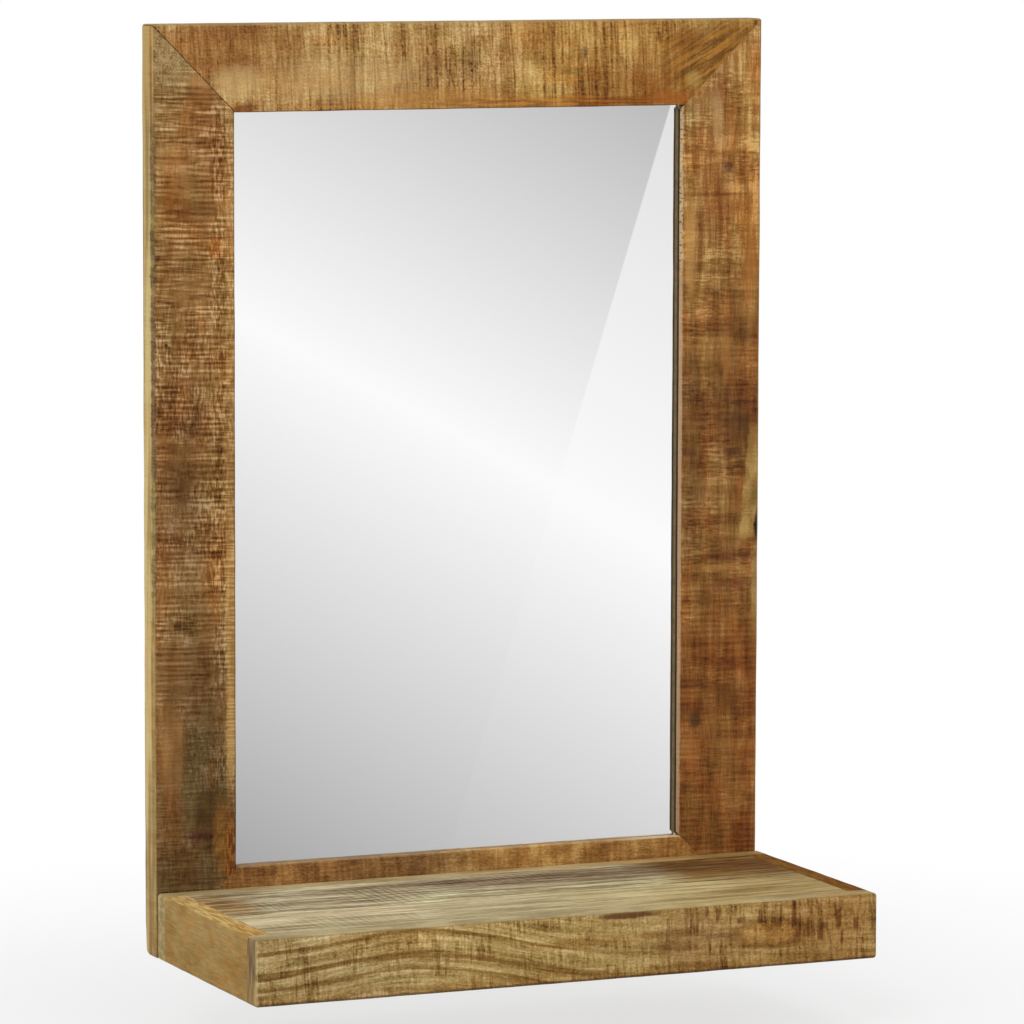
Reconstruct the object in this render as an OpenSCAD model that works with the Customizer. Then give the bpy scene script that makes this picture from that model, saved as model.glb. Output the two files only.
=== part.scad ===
// Wall mirror with a box shelf below it, made of rough-sawn solid wood.
// The mirror faces -Y, the wall is the plane Y = 0, and Z is up.
// The origin is midway between the entry holes of the two keyhole hangers.

/* [Frame] */
// Width of the frame
frame_w = 500; // [380:1:900]
// Height of the frame
frame_h = 700; // [450:1:1200]
// Thickness of the four frame members
frame_t = 24; // [21:0.5:36]
// Width of the left stile
left_stile_w = 65; // [60:0.5:100]
// Width of the right stile
right_stile_w = 69; // [60:0.5:100]
// Width of the top rail
top_rail_w = 66; // [60:0.5:100]
// Width of the bottom rail
bottom_rail_w = 66; // [60:0.5:100]
// Radius of the sanded long edges of frame and shelf
edge_r = 2; // [0.5:0.25:3]
// Radius of the frame's corners, seen from the front
frame_corner_r = 3; // [1:0.5:8]

/* [Mirror and backing] */
// Wood left in front of the glass
lip_t = 5; // [4:0.25:7]
// Thickness of the mirror glass
glass_t = 3; // [2:0.5:5]
// How far the wood covers the edge of the glass
glass_cover = 8; // [5:0.5:9]
// Play round the edge of the glass
glass_play = 1; // [0.5:0.1:1.5]
// Thickness of the backing board
backing_t = 3; // [2:0.5:5]
// Width of the ledge that the backing board is screwed to
ledge_w = 12; // [9:0.5:12]
// Play round the edge of the backing board
backing_play = 0.5; // [0.2:0.1:1]
// Backing screws along each side of the opening
backing_screws_side = 4; // [2:1:8]
// Backing screws along the top and the bottom of the opening
backing_screws_end = 3; // [2:1:6]
// Diameter of a backing screw
backing_screw_d = 3; // [2:0.25:3.5]
// Diameter of a backing screw's head
backing_head_d = 5.5; // [4.5:0.25:6]
// Wood left in front of the tip of a backing screw
backing_skin = 2; // [1:0.25:3]

/* [Mitre joints] */
// Diameter of all dowels
dowel_d = 8; // [6:0.5:9]
// Length of a dowel in a mitre
mitre_dowel_l = 30; // [20:1:32]
// Distance along the mitre from the frame's corner to the first dowel
mitre_dowel_in = 26; // [24:0.5:28]
// Distance along the mitre between its two dowels
mitre_dowel_gap = 21; // [14:0.5:22]
// Play round a dowel
dowel_play = 0.1; // [0.05:0.05:0.3]
// Glue room past each end of a dowel
dowel_room = 0.5; // [0.2:0.1:1]

/* [Keyhole hangers] */
// Distance from the top of the frame to the entry holes
hanger_down = 110; // [90:1:300]
// Distance from the frame's sides to the middle of each hanger
hanger_in = 22; // [18:0.5:26]
// Width of a hanger plate
plate_w = 16; // [14:0.5:20]
// Height of a hanger plate
plate_h = 46; // [44:1:56]
// Thickness of a hanger plate
plate_t = 1.5; // [1:0.25:2.5]
// Play round a hanger plate in its seat
plate_play = 0.2; // [0.1:0.1:0.5]
// Diameter of the round entry hole
entry_d = 9; // [8:0.5:10]
// Width of the slot above the entry hole
slot_w = 4.5; // [3.5:0.25:5.5]
// Climb of the slot, from the entry hole to its end
slot_rise = 11; // [9:0.5:12]
// Width of the pocket behind the plate
pocket_w = 13; // [11:0.5:13.5]
// Depth of the pocket behind the plate
pocket_depth = 10; // [7:0.5:12]
// Distance between the two screws of a plate
plate_screw_gap = 36; // [34:0.5:38]
// Diameter of a plate screw
plate_screw_d = 3.5; // [3:0.25:4]
// Diameter of a plate screw's head
plate_head_d = 6; // [5.5:0.25:6.5]
// Length of a plate screw
plate_screw_l = 14; // [10:1:18]

/* [Shelf] */
// Height of the shelf box
shelf_h = 50; // [44:1:80]
// Depth of the shelf box, in front of the frame
shelf_d = 206; // [170:1:300]
// How far the shelf stops short of the frame's left side
shelf_short_left = 1; // [0:0.5:10]
// How far the shelf reaches past the frame's right side
shelf_past_right = 2; // [0:0.5:10]
// Thickness of the shelf's front board, back board and ends
rim_t = 17; // [15:0.5:20]
// Thickness of the two top boards
top_t = 17; // [12:0.5:20]
// Width of the rear top board
rear_top_w = 94; // [60:1:120]
// Radius of the eased edges along the seams of the top
seam_r = 0.6; // [0.25:0.05:1.5]
// Dowels in each corner of the shelf box, one above the other
shelf_dowel_n = 2; // [1:1:3]
// Depth of a shelf dowel in the front or back board
shelf_dowel_in_rim = 10; // [8:0.5:12]
// Depth of a shelf dowel in an end board
shelf_dowel_in_end = 20; // [15:0.5:30]
// Width and height of the cleats under the top boards
cleat_s = 15; // [12:0.5:18]
// Screws along the front cleat and along the back cleat
cleat_screw_n = 3; // [2:1:6]
// Diameter of a cleat screw
cleat_screw_d = 3.5; // [3:0.25:4]
// Diameter of a cleat screw's head
cleat_head_d = 7; // [6:0.25:8]
// Wood left above the tip of a cleat screw
cleat_skin = 7; // [3:0.5:9]

/* [Screws that hold the shelf] */
// Number of screws through the bottom rail
fixing_n = 5; // [3:1:9]
// Distance from each end of the shelf to the first screw
fixing_in = 70; // [50:1:120]
// Height of the lower screws
fixing_low = 14; // [10:0.5:20]
// Height of the upper screws
fixing_high = 34; // [24:0.5:34]
// Diameter of a fixing screw
fixing_d = 4; // [3.5:0.25:5]
// Diameter of a fixing screw's head
fixing_head_d = 8; // [7:0.25:9]
// Wood left in front of the tip of a fixing screw
fixing_skin = 3; // [2:0.5:6]

/* [Fits] */
// Play round every screw
screw_play = 0.15; // [0.1:0.05:0.3]
// Height of the straight rim of a countersunk head
head_rim = 0.3; // [0.2:0.1:0.6]
// Width of the cross recess in a screw head
recess_w = 0.9; // [0.6:0.1:1.2]
// Depth of the cross recess in a screw head
recess_depth = 1; // [0.5:0.1:1.2]
// How far a cutter reaches past the face that it opens
past = 1; // [0.5:0.5:2]

/* [Hidden] */

// Colours of the woods and metals
honey = [0.66, 0.47, 0.24];
umber = [0.52, 0.33, 0.16];
straw = [0.72, 0.63, 0.42];
taupe = [0.55, 0.47, 0.34];
beech = [0.80, 0.66, 0.46];
board_brown = [0.50, 0.38, 0.26];
silver = [0.82, 0.84, 0.85];
zinc = [0.62, 0.63, 0.62];

round_fn = 48;

// Heights are counted from the bottom of the frame, and placed() moves them
// to the hangers.
hanger_z = frame_h - hanger_down;

// The sides of the opening that shows the mirror
x_left = -frame_w / 2;
x_right = frame_w / 2;
open_left = x_left + left_stile_w;
open_right = x_right - right_stile_w;
open_bottom = bottom_rail_w;
open_top = frame_h - top_rail_w;

// Depths from the wall plane to the faces inside the frame
front_y = -frame_t;
glass_front_y = front_y + lip_t;
glass_back_y = glass_front_y + glass_t;
backing_back_y = glass_back_y + backing_t;
glass_rebate = glass_cover + glass_play;
back_rebate = glass_rebate + ledge_w;

// Outline of each frame member, seen from the front
top_left = [x_left, frame_h];
top_right = [x_right, frame_h];
bottom_left = [x_left, 0];
bottom_right = [x_right, 0];
open_top_left = [open_left, open_top];
open_top_right = [open_right, open_top];
open_bottom_left = [open_left, open_bottom];
open_bottom_right = [open_right, open_bottom];
mitres = [[bottom_left, open_bottom_left], [bottom_right, open_bottom_right],
    [top_left, open_top_left], [top_right, open_top_right]];
mitre_dowel_places = [mitre_dowel_in, mitre_dowel_in + mitre_dowel_gap];

// The middle line of the ledge carries the backing screws.
ledge_mid = glass_rebate + ledge_w / 2;
backing_screw_l = backing_t + glass_t + lip_t - backing_skin;
left_backing_points = [for (z = spread(backing_screws_side, open_bottom, open_top))
    [open_left - ledge_mid, z]];
right_backing_points = [for (z = spread(backing_screws_side, open_bottom, open_top))
    [open_right + ledge_mid, z]];
bottom_backing_points = [for (x = spread(backing_screws_end, open_left, open_right))
    [x, open_bottom - ledge_mid]];
top_backing_points = [for (x = spread(backing_screws_end, open_left, open_right))
    [x, open_top + ledge_mid]];
backing_points = concat(left_backing_points, right_backing_points,
    bottom_backing_points, top_backing_points);

// Each keyhole sits in the middle of its plate.
left_hanger_x = x_left + hanger_in;
right_hanger_x = x_right - hanger_in;
plate_mid_z = hanger_z + (slot_rise + slot_w / 2 - entry_d / 2) / 2;
plate_screw_heights = [plate_mid_z - plate_screw_gap / 2, plate_mid_z + plate_screw_gap / 2];

// The shelf box
shelf_left = x_left + shelf_short_left;
shelf_right = x_right + shelf_past_right;
shelf_w = shelf_right - shelf_left;
shelf_back_y = front_y;
shelf_front_y = shelf_back_y - shelf_d;
inner_left = shelf_left + rim_t;
inner_right = shelf_right - rim_t;
inner_w = inner_right - inner_left;
inner_back_y = shelf_back_y - rim_t;
inner_front_y = shelf_front_y + rim_t;
inner_d = inner_back_y - inner_front_y;
top_seam_y = inner_back_y - rear_top_w;
top_under_z = shelf_h - top_t;
cleat_under_z = top_under_z - cleat_s;

shelf_dowel_heights = spread(shelf_dowel_n, 0, shelf_h);
cleat_screw_l = cleat_s + top_t - cleat_skin;
long_cleat_xs = spread(cleat_screw_n, inner_left, inner_right);
front_cleat_y = inner_front_y + cleat_s / 2;
back_cleat_y = inner_back_y - cleat_s / 2;
end_cleat_ys = [(inner_front_y + top_seam_y) / 2, (top_seam_y + inner_back_y) / 2];
end_cleat_xs = [inner_left + cleat_s / 2, inner_right - cleat_s / 2];
front_top_points = concat([for (x = long_cleat_xs) [x, front_cleat_y]],
    [for (x = end_cleat_xs) [x, end_cleat_ys[0]]]);
rear_top_points = concat([for (x = long_cleat_xs) [x, back_cleat_y]],
    [for (x = end_cleat_xs) [x, end_cleat_ys[1]]]);

fixing_l = frame_t + rim_t - fixing_skin;
fixing_step = (shelf_w - 2 * fixing_in) / (fixing_n - 1);
fixing_points = [for (i = [0 : fixing_n - 1])
    [shelf_left + fixing_in + i * fixing_step, i % 2 == 0 ? fixing_high : fixing_low]];

// n places spread evenly between a and b, half a step in from each end
function spread(n, a, b) = [for (i = [0 : n - 1]) a + (b - a) * (i + 0.5) / n];

// Moves a shape from heights above the frame's bottom to the part's frame
module placed() {
    translate([0, 0, -hanger_z]) children();
}

// Rectangle w by h with its lower left corner at the origin and round corners
module soft_rect(w, h, r) {
    translate([r, 0]) square([w - 2 * r, h]);
    translate([0, r]) square([w, h - 2 * r]);
    for (x = [r, w - r], y = [r, h - r]) {
        translate([x, y]) circle(r = r, $fn = round_fn);
    }
}

// Stands a front view, drawn in X and Z, up at depth y, and makes it t deep
// towards the front
module upright(y, t) {
    translate([0, y, 0]) rotate([90, 0, 0]) linear_extrude(t) children();
}

// Cross-section of a frame member: X runs from its outer edge to the opening
// and Y from the front face to the wall. The first step holds the glass and
// the second the backing board.
module member_section(w) {
    difference() {
        translate([0, front_y]) soft_rect(w, frame_t, edge_r);
        translate([w - glass_rebate, glass_front_y]) square([glass_rebate + past, frame_t]);
        translate([w - back_rebate, glass_back_y]) square([back_rebate + past, frame_t]);
    }
}

// A member is its moulded length, cut to its mitred outline and rounded at
// the frame's corners.
module mitred(outline) {
    intersection() {
        children();
        upright(past, frame_t + 2 * past) {
            intersection() {
                polygon(outline);
                translate([x_left, 0]) soft_rect(frame_w, frame_h, frame_corner_r);
            }
        }
    }
}

// Puts a shape along the line across a mitre, at each of its dowels
module at_mitre_dowels(corners) {
    for (c = corners, d = mitre_dowel_places) {
        run = c[1] - c[0];
        lean = atan2(run[1], run[0]);
        place = c[0] + run * d / norm(run);
        translate([place[0], front_y / 2, place[1]])
            rotate([0, -90 - lean, 0]) rotate([0, 90, 0]) children();
    }
}

// Dowel along Z with chamfered ends, its middle at the origin
module dowel(l) {
    chamfer = dowel_d / 10;
    r = dowel_d / 2;
    rotate_extrude($fn = round_fn)
        polygon([[0, -l / 2], [r - chamfer, -l / 2], [r, chamfer - l / 2],
            [r, l / 2 - chamfer], [r - chamfer, l / 2], [0, l / 2]]);
}

module dowel_hole(l) {
    cylinder(h = l + 2 * dowel_room, r = dowel_d / 2 + dowel_play, center = true, $fn = round_fn);
}

// Countersunk screw along Z: the top of its head is at the origin and its
// tip points down.
module screw(d, head_d, l) {
    head_l = (head_d - d) / 2;
    difference() {
        rotate_extrude($fn = round_fn)
            polygon([[0, 0], [head_d / 2, 0], [head_d / 2, -head_rim],
                [d / 2, -head_rim - head_l], [d / 2, d - l], [d / 10, -l], [0, -l]]);
        for (turn = [0, 90]) {
            rotate([0, 0, turn]) translate([-d / 2, -recess_w / 2, -recess_depth])
                cube([d, recess_w, recess_depth + past]);
        }
    }
}

// Room for a countersunk screw
module screw_hole(d, head_d, l) {
    head_l = (head_d - d) / 2;
    r = d / 2 + screw_play;
    head_r = head_d / 2 + screw_play;
    rotate_extrude($fn = round_fn)
        polygon([[0, past], [head_r, past], [head_r, -head_rim],
            [r, -head_rim - head_l], [r, -l - screw_play], [0, -l - screw_play]]);
}

// Screws that are driven from the wall side start at depth y
module from_wall(points, y) {
    for (p = points) {
        translate([p[0], y, p[1]]) rotate([-90, 0, 0]) children();
    }
}

module backing_holes(points) {
    from_wall(points, backing_back_y) screw_hole(backing_screw_d, backing_head_d, backing_screw_l);
}

// Upright slot with round ends: r wide to each side, from z0 to z1 at its ends
module round_slot(r, z0, z1) {
    translate([0, z0 + r]) circle(r = r, $fn = round_fn);
    translate([0, z1 - r]) circle(r = r, $fn = round_fn);
    translate([-r, z0 + r]) square([2 * r, z1 - z0 - 2 * r]);
}

module plate_outline(play) {
    round_slot(plate_w / 2 + play, plate_mid_z - plate_h / 2 - play,
        plate_mid_z + plate_h / 2 + play);
}

// The screws of the hanger at x
module at_plate_screws(x) {
    from_wall([for (z = plate_screw_heights) [x, z]], 0) children();
}

// What is milled out of a stile for a hanger at x: the seat of the plate,
// the pocket for the head of a wall screw, and the pilot holes
module hanger_seat(x) {
    pocket_r = pocket_w / 2;
    translate([x, 0, 0]) {
        upright(past, plate_t + past) plate_outline(plate_play);
        upright(past, plate_t + pocket_depth + past)
            round_slot(pocket_r, hanger_z - pocket_r, hanger_z + slot_rise + pocket_r);
    }
    at_plate_screws(x) screw_hole(plate_screw_d, plate_head_d, plate_screw_l);
}

module hanger_plate(x) {
    difference() {
        translate([x, 0, 0]) upright(0, plate_t) {
            difference() {
                plate_outline(0);
                translate([0, hanger_z]) circle(d = entry_d, $fn = round_fn);
                translate([0, hanger_z + slot_rise]) circle(d = slot_w, $fn = round_fn);
                translate([-slot_w / 2, hanger_z]) square([slot_w, slot_rise]);
            }
        }
        at_plate_screws(x) screw_hole(plate_screw_d, plate_head_d, plate_screw_l);
    }
}

// The shelf box after sanding: all twelve edges are round.
module shelf_body() {
    intersection() {
        translate([shelf_left, shelf_front_y, 0])
            linear_extrude(shelf_h) soft_rect(shelf_w, shelf_d, edge_r);
        translate([shelf_left, 0, 0])
            upright(shelf_back_y, shelf_d) soft_rect(shelf_w, shelf_h, edge_r);
        translate([shelf_left, shelf_front_y, 0]) rotate([90, 0, 90])
            linear_extrude(shelf_w) soft_rect(shelf_d, shelf_h, edge_r);
    }
}

// Puts a shape along Y at each dowel of the shelf box's corners
module at_shelf_dowels(xs, y) {
    for (x = xs, z = shelf_dowel_heights) {
        translate([x, y, z]) rotate([90, 0, 0]) children();
    }
}

shelf_dowel_xs = [shelf_left + rim_t / 2, shelf_right - rim_t / 2];
shelf_dowel_l = shelf_dowel_in_rim + shelf_dowel_in_end;
shelf_dowel_shift = (shelf_dowel_in_end - shelf_dowel_in_rim) / 2;
front_dowel_y = inner_front_y + shelf_dowel_shift;
back_dowel_y = inner_back_y - shelf_dowel_shift;

module shelf_dowel_holes(xs) {
    for (y = [front_dowel_y, back_dowel_y]) {
        at_shelf_dowels(xs, y) dowel_hole(shelf_dowel_l);
    }
}

// Cleat screws are driven upwards from the underside of a cleat.
module from_below(points) {
    for (p = points) {
        translate([p[0], p[1], cleat_under_z]) rotate([180, 0, 0]) children();
    }
}

module cleat_holes(points) {
    from_below(points) screw_hole(cleat_screw_d, cleat_head_d, cleat_screw_l);
}

module fixing_holes() {
    from_wall(fixing_points, 0) screw_hole(fixing_d, fixing_head_d, fixing_l);
}

// A top board from y0 to y1, with eased edges along its seams
module top_board(y0, y1) {
    translate([inner_left, y0, top_under_z]) rotate([90, 0, 90])
        linear_extrude(inner_w) soft_rect(y1 - y0, top_t, seam_r);
}

// A cleat lies under the top boards, against the rim.
module cleat(x, y, w, d) {
    translate([x, y, cleat_under_z]) cube([w, d, cleat_s]);
}

module top_rail() color(honey) placed() difference() {
    mitred([top_left, top_right, open_top_right, open_top_left])
        translate([x_right, 0, frame_h]) rotate([0, -90, 0]) mirror([1, 0, 0])
            linear_extrude(frame_w) member_section(top_rail_w);
    at_mitre_dowels([mitres[2], mitres[3]]) dowel_hole(mitre_dowel_l);
    backing_holes(top_backing_points);
}

module bottom_rail() color(umber) placed() difference() {
    mitred([bottom_left, bottom_right, open_bottom_right, open_bottom_left])
        translate([x_right, 0, 0]) rotate([0, -90, 0])
            linear_extrude(frame_w) member_section(bottom_rail_w);
    at_mitre_dowels([mitres[0], mitres[1]]) dowel_hole(mitre_dowel_l);
    backing_holes(bottom_backing_points);
    fixing_holes();
}

module left_stile() color(umber) placed() difference() {
    mitred([bottom_left, top_left, open_top_left, open_bottom_left])
        translate([x_left, 0, 0]) linear_extrude(frame_h) member_section(left_stile_w);
    at_mitre_dowels([mitres[0], mitres[2]]) dowel_hole(mitre_dowel_l);
    backing_holes(left_backing_points);
    hanger_seat(left_hanger_x);
}

module right_stile() color(honey) placed() difference() {
    mitred([bottom_right, top_right, open_top_right, open_bottom_right])
        translate([x_right, 0, 0]) mirror([1, 0, 0])
            linear_extrude(frame_h) member_section(right_stile_w);
    at_mitre_dowels([mitres[1], mitres[3]]) dowel_hole(mitre_dowel_l);
    backing_holes(right_backing_points);
    hanger_seat(right_hanger_x);
}

module mitre_dowels() color(beech) placed() {
    at_mitre_dowels(mitres) dowel(mitre_dowel_l);
}

module mirror_pane() color(silver) placed() {
    translate([open_left - glass_cover, glass_front_y, open_bottom - glass_cover])
        cube([open_right - open_left + 2 * glass_cover, glass_t,
            open_top - open_bottom + 2 * glass_cover]);
}

module backing_board() color(board_brown) placed() {
    reach = back_rebate - backing_play;
    difference() {
        translate([open_left - reach, glass_back_y, open_bottom - reach])
            cube([open_right - open_left + 2 * reach, backing_t,
                open_top - open_bottom + 2 * reach]);
        backing_holes(backing_points);
    }
}

module backing_screws() color(zinc) placed() {
    from_wall(backing_points, backing_back_y) screw(backing_screw_d, backing_head_d, backing_screw_l);
}

module left_hanger_plate() color(zinc) placed() hanger_plate(left_hanger_x);

module right_hanger_plate() color(zinc) placed() hanger_plate(right_hanger_x);

module hanger_screws() color(zinc) placed() {
    for (x = [left_hanger_x, right_hanger_x]) {
        at_plate_screws(x) screw(plate_screw_d, plate_head_d, plate_screw_l);
    }
}

module shelf_front_board() color(straw) placed() difference() {
    intersection() {
        shelf_body();
        translate([shelf_left, shelf_front_y, 0]) cube([shelf_w, rim_t, shelf_h]);
    }
    shelf_dowel_holes(shelf_dowel_xs);
}

module shelf_back_board() color(taupe) placed() difference() {
    intersection() {
        shelf_body();
        translate([shelf_left, inner_back_y, 0]) cube([shelf_w, rim_t, shelf_h]);
    }
    shelf_dowel_holes(shelf_dowel_xs);
    fixing_holes();
}

module shelf_left_end() color(honey) placed() difference() {
    intersection() {
        shelf_body();
        translate([shelf_left, inner_front_y, 0]) cube([rim_t, inner_d, shelf_h]);
    }
    shelf_dowel_holes([shelf_dowel_xs[0]]);
}

module shelf_right_end() color(honey) placed() difference() {
    intersection() {
        shelf_body();
        translate([inner_right, inner_front_y, 0]) cube([rim_t, inner_d, shelf_h]);
    }
    shelf_dowel_holes([shelf_dowel_xs[1]]);
}

module shelf_top_rear_board() color(taupe) placed() difference() {
    top_board(top_seam_y, inner_back_y);
    cleat_holes(rear_top_points);
}

module shelf_top_front_board() color(straw) placed() difference() {
    top_board(inner_front_y, top_seam_y);
    cleat_holes(front_top_points);
}

module shelf_front_cleat() color(beech) placed() difference() {
    cleat(inner_left, inner_front_y, inner_w, cleat_s);
    cleat_holes(front_top_points);
}

module shelf_back_cleat() color(beech) placed() difference() {
    cleat(inner_left, inner_back_y - cleat_s, inner_w, cleat_s);
    cleat_holes(rear_top_points);
}

module shelf_left_cleat() color(beech) placed() difference() {
    cleat(inner_left, inner_front_y + cleat_s, cleat_s, inner_d - 2 * cleat_s);
    cleat_holes([for (y = end_cleat_ys) [end_cleat_xs[0], y]]);
}

module shelf_right_cleat() color(beech) placed() difference() {
    cleat(inner_right - cleat_s, inner_front_y + cleat_s, cleat_s, inner_d - 2 * cleat_s);
    cleat_holes([for (y = end_cleat_ys) [end_cleat_xs[1], y]]);
}

module shelf_dowels() color(beech) placed() {
    for (y = [front_dowel_y, back_dowel_y]) {
        at_shelf_dowels(shelf_dowel_xs, y) dowel(shelf_dowel_l);
    }
}

module cleat_screws() color(zinc) placed() {
    from_below(concat(front_top_points, rear_top_points))
        screw(cleat_screw_d, cleat_head_d, cleat_screw_l);
}

module shelf_fixing_screws() color(zinc) placed() {
    from_wall(fixing_points, 0) screw(fixing_d, fixing_head_d, fixing_l);
}

top_rail();
bottom_rail();
left_stile();
right_stile();
mitre_dowels();
mirror_pane();
backing_board();
backing_screws();
left_hanger_plate();
right_hanger_plate();
hanger_screws();
shelf_front_board();
shelf_back_board();
shelf_left_end();
shelf_right_end();
shelf_top_rear_board();
shelf_top_front_board();
shelf_front_cleat();
shelf_back_cleat();
shelf_left_cleat();
shelf_right_cleat();
shelf_dowels();
cleat_screws();
shelf_fixing_screws();
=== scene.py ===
# %% [markdown]
# # A bathroom mirror with a shelf
# The real thing is a flat mirror in a frame of four rough-sawn boards, mitred at the corners. A box
# of sanded boards is screwed across its foot as a shelf. The CAD model gives every size. Blender
# gives the worn edges, the saw marks, the grain and the oil on the wood, so this script first loads
# the CAD model as a fixed frame and measures it.

# %% Load the CAD frame
import math

import bmesh
import bpy
from mathutils import Euler, Matrix, Vector
from mathutils.geometry import intersect_point_line


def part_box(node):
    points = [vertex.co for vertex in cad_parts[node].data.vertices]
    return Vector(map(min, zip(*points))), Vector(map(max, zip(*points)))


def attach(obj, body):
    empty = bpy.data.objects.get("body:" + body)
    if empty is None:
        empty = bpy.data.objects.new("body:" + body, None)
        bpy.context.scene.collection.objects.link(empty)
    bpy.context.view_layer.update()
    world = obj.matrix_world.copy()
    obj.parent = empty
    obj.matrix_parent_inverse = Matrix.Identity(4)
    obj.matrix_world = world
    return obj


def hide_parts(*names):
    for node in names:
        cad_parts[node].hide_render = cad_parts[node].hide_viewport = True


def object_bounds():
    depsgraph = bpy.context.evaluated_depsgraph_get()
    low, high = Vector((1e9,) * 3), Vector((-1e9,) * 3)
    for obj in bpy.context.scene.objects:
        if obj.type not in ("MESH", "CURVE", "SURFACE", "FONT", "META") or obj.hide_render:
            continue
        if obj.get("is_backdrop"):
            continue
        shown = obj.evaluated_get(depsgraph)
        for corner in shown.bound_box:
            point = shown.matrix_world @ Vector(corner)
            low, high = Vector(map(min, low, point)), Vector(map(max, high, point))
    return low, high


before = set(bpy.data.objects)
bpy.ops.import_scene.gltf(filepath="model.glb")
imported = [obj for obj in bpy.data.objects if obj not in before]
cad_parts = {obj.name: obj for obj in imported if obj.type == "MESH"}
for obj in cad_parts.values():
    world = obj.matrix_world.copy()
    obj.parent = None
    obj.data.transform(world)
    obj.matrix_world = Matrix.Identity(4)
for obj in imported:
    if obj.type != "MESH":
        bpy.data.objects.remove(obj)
cad_low, cad_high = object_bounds()
MM = 0.001
print("CAD box", [round(c, 4) for c in (*cad_low, *cad_high)])

# %% [markdown]
# ## The camera
# The photograph was taken from a little above and to the left, with a long lens from 4.4 m away.
# The place and the turn of the camera come from a fit to the edges of the frame and the shelf. A
# long lens keeps upright edges nearly parallel, which is why the camera stands so far off.

# %% Place the camera
YAW, PITCH, ROLL = (math.radians(degrees) for degrees in (23.518, -6.472, 0.169))
bpy.ops.object.select_all(action="DESELECT")
bpy.ops.object.camera_add(location=(-1.7546, -4.1493, 0.2460))
camera = bpy.context.object
heading = Euler((math.pi / 2 + PITCH, 0, -YAW)).to_matrix().to_4x4()
camera.matrix_world = (
    Matrix.Translation(camera.location) @ heading @ Matrix.Rotation(ROLL, 4, "Z"))
camera.data.sensor_width = 36
camera.data.lens = 208.25
bpy.context.scene.camera = camera
bpy.context.scene.view_settings.view_transform = "Standard"
print("camera", round(math.degrees(2 * math.atan(18 / camera.data.lens)), 2), "degrees wide")

# %% [markdown]
# ## A small language for shaders
# A finish is a sum of many small things: grain, saw marks, patches. With a class that wraps a
# node's output and knows + - * /, such a sum reads like arithmetic and still builds plain Math
# nodes. Everything else comes from one method, node().

# %% The class Wire: sums of node outputs
class Wire:
    """A node's output, which takes part in sums as a number does."""

    def __init__(self, finish, socket):
        self.finish, self.socket = finish, socket

    def work(self, operation, *values):
        return self.finish.node("Math", {"operation": operation}, dict(enumerate(values)))

    def __add__(self, other):
        return self.work("ADD", self, other)

    def __sub__(self, other):
        return self.work("SUBTRACT", self, other)

    def __rsub__(self, other):
        return self.work("SUBTRACT", other, self)

    def __mul__(self, other):
        return self.work("MULTIPLY", self, other)

    def __truediv__(self, other):
        return self.work("DIVIDE", self, other)

    __radd__, __rmul__ = __add__, __mul__

    def __pow__(self, power):
        return self.work("POWER", self, power)

    def __rpow__(self, base):
        return self.work("POWER", base, self)

    def __abs__(self):
        return self.work("ABSOLUTE", self)

    def most(self, other):
        return self.work("MAXIMUM", self, other)

    def least(self, other):
        return self.work("MINIMUM", self, other)

    def sine(self):
        return self.work("SINE", self)

    def rise(self, low, high):
        """0 below low, 1 above high and a soft step between them."""
        settings = {"interpolation_type": "SMOOTHSTEP"}
        return self.finish.node("MapRange", settings, {0: self, 1: low, 2: high})

    def fall(self, low, high):
        """1 below low, 0 above high and a soft step between them."""
        return 1 - self.rise(low, high)

    def strip(self, low, high, soft=1.0):
        """1 between low and high, 0 outside."""
        return (self - low).rise(-soft, soft) * (self - high).fall(-soft, soft)


print("wires ready")

# %% The class Finish: the nodes of one material
class Finish:
    """The shader nodes of one material or of the world. Numbers and wires go into node()."""

    def __init__(self, owner):
        owner.use_nodes = True
        self.owner, self.tree = owner, owner.node_tree
        self.tree.nodes.clear()

    def node(self, kind, settings=None, sockets=None, output=0):
        made = self.tree.nodes.new("ShaderNode" + kind)
        for name, value in (settings or {}).items():
            setattr(made, name, value)
        for name, value in (sockets or {}).items():
            if isinstance(value, Wire):
                self.tree.links.new(value.socket, made.inputs[name])
            else:
                made.inputs[name].default_value = value
        return Wire(self, made.outputs[output])

    def millimetres(self):
        """x, y and z of the shaded point, in millimetres of the part's own frame."""
        place = self.node("TexCoord", output=3)
        scaled = self.node("VectorMath", {"operation": "SCALE"}, {0: place, 3: 1 / MM})
        return [self.node("SeparateXYZ", sockets={0: scaled}, output=i) for i in range(3)]

    def noise(self, x, y, z, detail=2.0, roughness=0.5):
        """Cloudy noise around 0, mostly from -1 to 1, with one cloud for each unit of x, y, z."""
        place = self.node("CombineXYZ", sockets={0: x, 1: y, 2: z})
        sockets = {"Vector": place, "Scale": 1.0, "Detail": detail, "Roughness": roughness}
        return (self.node("TexNoise", sockets=sockets) - 0.5) * 4

    def blend(self, share, colour, other, way="MIX"):
        settings = {"data_type": "RGBA", "blend_type": way}
        return self.node("Mix", settings, {0: share, 6: colour, 7: other}, output=2)

    def surface(self, shader, kind="Material"):
        end = self.tree.nodes.new("ShaderNodeOutput" + kind)
        self.tree.links.new(shader.socket, end.inputs["Surface"])

    def count(self):
        print(self.owner.name, len(self.tree.nodes), "nodes so far")

    def principled(self, sockets):
        """Closes a material with the shader that suits most things, and returns the material."""
        self.surface(self.node("BsdfPrincipled", sockets=sockets))
        self.count()
        return self.owner


def finish_for(name):
    return Finish(bpy.data.materials.new(name))


print("shader language ready")

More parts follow.
